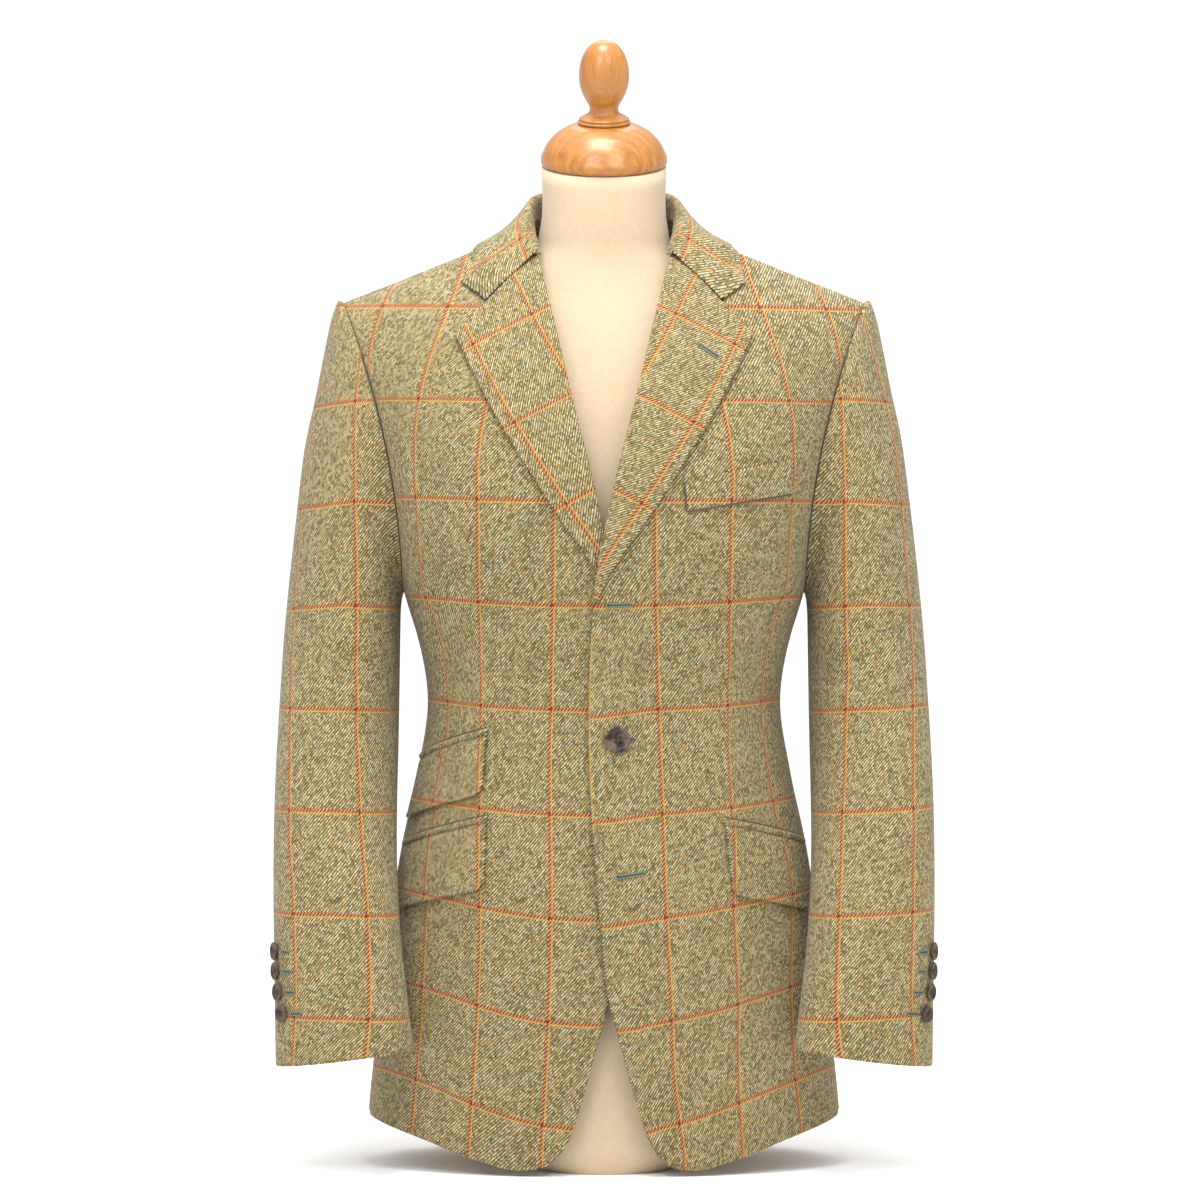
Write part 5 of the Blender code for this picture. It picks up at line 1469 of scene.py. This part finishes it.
def add_buttonhole(name, start, end, out, thread, slit_shade):
    """A worked buttonhole on the cloth: a ring of close stitches, wider at its eyelet, and a near-black strip
    along its cut that paints the shade in the opening.
    """
    share = np.linspace(0.0, 1.0, BUTTONHOLE_STEPS)
    eyelet = np.exp(-((share - EYELET_PLACE) / EYELET_PLACE) ** 2)
    half = BUTTONHOLE_HALF_WIDTH + (EYELET_HALF_WIDTH - BUTTONHOLE_HALF_WIDTH) * eyelet
    half = half * np.minimum(1.0, np.minimum(share, 1 - share) * END_STEEPNESS) ** 0.5
    run = end - start
    aside = unit(np.cross(out, run))
    middle = start + share[:, None] * run
    upper, lower = middle + half[:, None] * aside, middle - half[:, None] * aside
    path = np.concatenate([upper, lower[::-1][1:-1]])
    around = np.linspace(0.0, 2 * math.pi * STITCHES * 2, len(path), endpoint=False)
    radius = STITCH_RADIUS * (1.0 + STITCH_SWELL * np.sin(around))
    closed_path, closed_radius = (np.concatenate([row[-1:], row, row[:1]]) for row in (path, radius))
    rings = tube_points(closed_path, closed_radius)[1:-1]
    faces = tube_faces(*rings.shape[:2], closed=True)
    add_mesh(name, rings.reshape(-1, 3), faces, None, thread)
    # Painted shade: a thin near-black strip just above the cloth along the cut, where the opening lies in
    # shadow.
    strip = np.concatenate([upper, lower]) + SLIT_SHADE_RISE * out
    loop = list(range(BUTTONHOLE_STEPS)) + list(range(2 * BUTTONHOLE_STEPS - 2, BUTTONHOLE_STEPS, -1))
    base = len(strip)
    strip = np.concatenate([strip, strip - SLIT_SHADE_WALL * out])
    faces = [tuple(loop), tuple(base + item for item in loop)]
    for here, following in zip(loop, loop[1:] + loop[:1]):
        faces.append((here, following, base + following, base + here))
    add_mesh(f"{name}_slit", strip, faces, None, slit_shade)


def front_surface(x, height, side):
    """The cloth's outer point below the break, on its own side, with the way out."""
    base = section_point(angle_at(np.array(x), np.array(height)), np.array(height))
    return on_side(base, side), wall_direction(base) * MIRROR[side]


def cuff_place(turn, place):
    """A point of the left cuff at a turn from its outer edge, with the way out there."""
    spot, edge, front = (sleeve_point(np.array(angle), np.array(place)) for angle in (turn, 0.0, math.pi / 2))
    middle = (edge + sleeve_point(np.array(math.pi), np.array(place))) / 2
    deep, half = middle[1] - front[1], edge[0] - middle[0]
    return spot, unit(np.array([math.cos(turn) * deep, -math.sin(turn) * half, 0.0]))


def add_fastenings(thread, slit_shade):
    """Every button with its thread, and every buttonhole."""
    grey_horn, dark_horn = horn_finish("horn_grey", *GREY_HORN), horn_finish("horn_dark", *DARK_HORN)
    spot, out = front_surface(FRONT_BUTTON_X, FRONT_BUTTON_Z, 1)
    # The buttons' thread bars take the same near-black finish that paints the shade in the buttonhole cuts.
    add_button("button_front", FRONT_BUTTON_RADIUS, spot + BUTTON_CLEAR * out, out, grey_horn, slit_shade)
    for hole in FRONT_BUTTONHOLES:
        row = dict(zip(BUTTONHOLE_COLUMNS, hole))
        start, out = front_surface(row["x0"], row["z0"], 1)
        end = front_surface(row["x1"], row["z1"], 1)[0]
        rise = BUTTONHOLE_RISE * out
        add_buttonhole(row["name"], start + rise, end + rise, out, thread, slit_shade)
    lapel = lapel_points()
    normal = grid_normals(lapel)
    ends = []
    for x, height in LAPEL_BUTTONHOLE:
        away = np.hypot(lapel[..., 0] - x, lapel[..., 2] - height)
        away[:, :LAPEL_ROLL_COLUMNS] = np.inf
        row, item = np.unravel_index(np.argmin(away), away.shape)
        ends.append((on_side(lapel[row, item], 1), normal[row, item]))
    out = unit(ends[0][1] + ends[1][1])
    rise = FINE_RISE * out
    add_buttonhole("buttonhole_lapel", ends[1][0] + rise, ends[0][0] + rise, out, thread, slit_shade)
    fine = np.linspace(0.0, len(RINGS) - 1.0, CUFF_SEARCH)
    outer = sleeve_point(np.zeros_like(fine), fine)
    for number, (height, turn) in enumerate(CUFF_BUTTONS, start=1):
        place = fine[int(np.argmin(np.abs(outer[:, 2] - height)))]
        spot, out = cuff_place(turn, place)
        hole = [cuff_place(turn + more, place) for more in CUFF_BUTTONHOLE_TURNS]
        for side, label in SIDES:
            mirror = MIRROR[side]
            seat = (spot + BUTTON_CLEAR * out) * mirror
            button = f"button_cuff_{label}_{number}"
            add_button(button, CUFF_BUTTON_RADIUS, seat, out * mirror, dark_horn, slit_shade)
            start, end = ((point + FINE_RISE * away) * mirror for point, away in hole)
            add_buttonhole(f"buttonhole_cuff_{label}_{number}", start, end, hole[0][1] * mirror, thread, slit_shade)


# Studio

CAMERA_DISTANCE, CAMERA_HEIGHT, PICTURE_WIDTH = 4.0, 0.524, 1.032
PICTURE_CENTRE = Vector((-0.0034, 0.0, 0.4813))
SENSOR_WIDTH = 36.0
# Soft lights: place in metres, width in metres, power in watts; each looks at the middle of the object.
LIGHTS = (((-0.5, -1.35, 1.5), 0.6, 9.5), ((0.55, -1.35, 1.5), 0.6, 7.0), ((-0.1, -0.55, 2.3), 0.8, 34.0),
          ((0, 1.2, 2.4), 1, 8))
LIGHT_AIM = Vector((0.0, 0.0, 0.45))
# Light of the room all round, then backdrop and ceiling: where each starts and is full, and its strength.
ROOM_STRENGTH = 0.22
ROOM_PARTS = ((0.34, 0.16, 0.9), (0.1, 0.9, 1.22))
FLOOR_SIZE = 24.0


def studio_world():
    """Bright backdrop low all round and a bright ceiling above, in a dimmer room."""
    world = bpy.data.worlds.new("studio")
    world.use_nodes = True
    tree = world.node_tree
    split = tree.nodes.new("ShaderNodeSeparateXYZ")
    tree.links.new(tree.nodes.new("ShaderNodeTexCoord").outputs["Generated"], split.inputs["Vector"])
    room = tree.nodes.new("ShaderNodeValue")
    room.outputs["Value"].default_value = ROOM_STRENGTH
    total = room.outputs["Value"]
    for start, end, strength in ROOM_PARTS:
        part = tree.nodes.new("ShaderNodeMapRange")
        part.interpolation_type = "SMOOTHSTEP"
        tree.links.new(split.outputs["Z"], part.inputs["Value"])
        for socket, value in zip(("From Min", "From Max", "To Max"), (start, end, strength)):
            part.inputs[socket].default_value = value
        both = tree.nodes.new("ShaderNodeMath")
        tree.links.new(part.outputs["Result"], both.inputs[0])
        tree.links.new(total, both.inputs[1])
        total = both.outputs["Value"]
    background = tree.nodes["Background"]
    background.inputs["Color"].default_value = (1.0, 1.0, 1.0, 1.0)
    tree.links.new(total, background.inputs["Strength"])
    return world


def add_studio():
    """Camera at the picture's angle, soft lights, pale surroundings and floor."""
    camera = bpy.data.objects.new("camera", bpy.data.cameras.new("camera"))
    bpy.context.collection.objects.link(camera)
    camera.location = (PICTURE_CENTRE.x, -CAMERA_DISTANCE, CAMERA_HEIGHT)
    camera.rotation_euler = (PICTURE_CENTRE - camera.location).to_track_quat("-Z", "Y").to_euler()
    camera.data.sensor_width = SENSOR_WIDTH
    camera.data.lens = SENSOR_WIDTH * CAMERA_DISTANCE / PICTURE_WIDTH
    bpy.context.scene.camera = camera
    for number, (place, size, power) in enumerate(LIGHTS, start=1):
        light = bpy.data.lights.new(f"soft_light_{number}", "AREA")
        light.size = size
        light.energy = power
        lamp = bpy.data.objects.new(f"soft_light_{number}", light)
        bpy.context.collection.objects.link(lamp)
        lamp.location = place
        lamp.rotation_euler = (LIGHT_AIM - Vector(place)).to_track_quat("-Z", "Y").to_euler()
    bpy.context.scene.world = studio_world()
    bpy.context.scene.view_settings.view_transform = "Standard"
    half = FLOOR_SIZE / 2
    mesh = bpy.data.meshes.new("floor")
    corners = [(-half, -half, 0.0), (half, -half, 0.0), (half, half, 0.0), (-half, half, 0.0)]
    mesh.from_pydata(corners, [], [(0, 1, 2, 3)])
    mesh.materials.append(floor_finish())
    floor = bpy.data.objects.new("floor", mesh)
    bpy.context.collection.objects.link(floor)


def build():
    """Makes every piece, then the studio."""
    tweed = tweed_finish()
    add_form_body(jersey_finish())
    add_wood(wood_finish("beech_cap", (1.0, 6.0, 1.0)), wood_finish("beech_finial", (1.0, 1.0, 0.16)))
    for side, label in SIDES:
        add_front(side, label, tweed)
        add_back(side, label, tweed)
        add_sleeve(side, label, tweed)
        add_lapel(side, label, tweed)
    add_collar(tweed)
    # The near-black finish that paints the shade in the sunk seams.
    seam_shade_finish = thread_finish("seam", SEAM_SHADE_COLOUR)
    add_pockets(tweed, seam_shade_finish)
    add_armhole_seam_shades(seam_shade_finish)
    # The near-black finish paints the shade in the buttonhole cuts; the buttons' thread bars take it too.
    add_fastenings(thread_finish("thread", THREAD_COLOUR), thread_finish("slit_shade", SLIT_SHADE_COLOUR))
    add_studio()


build()
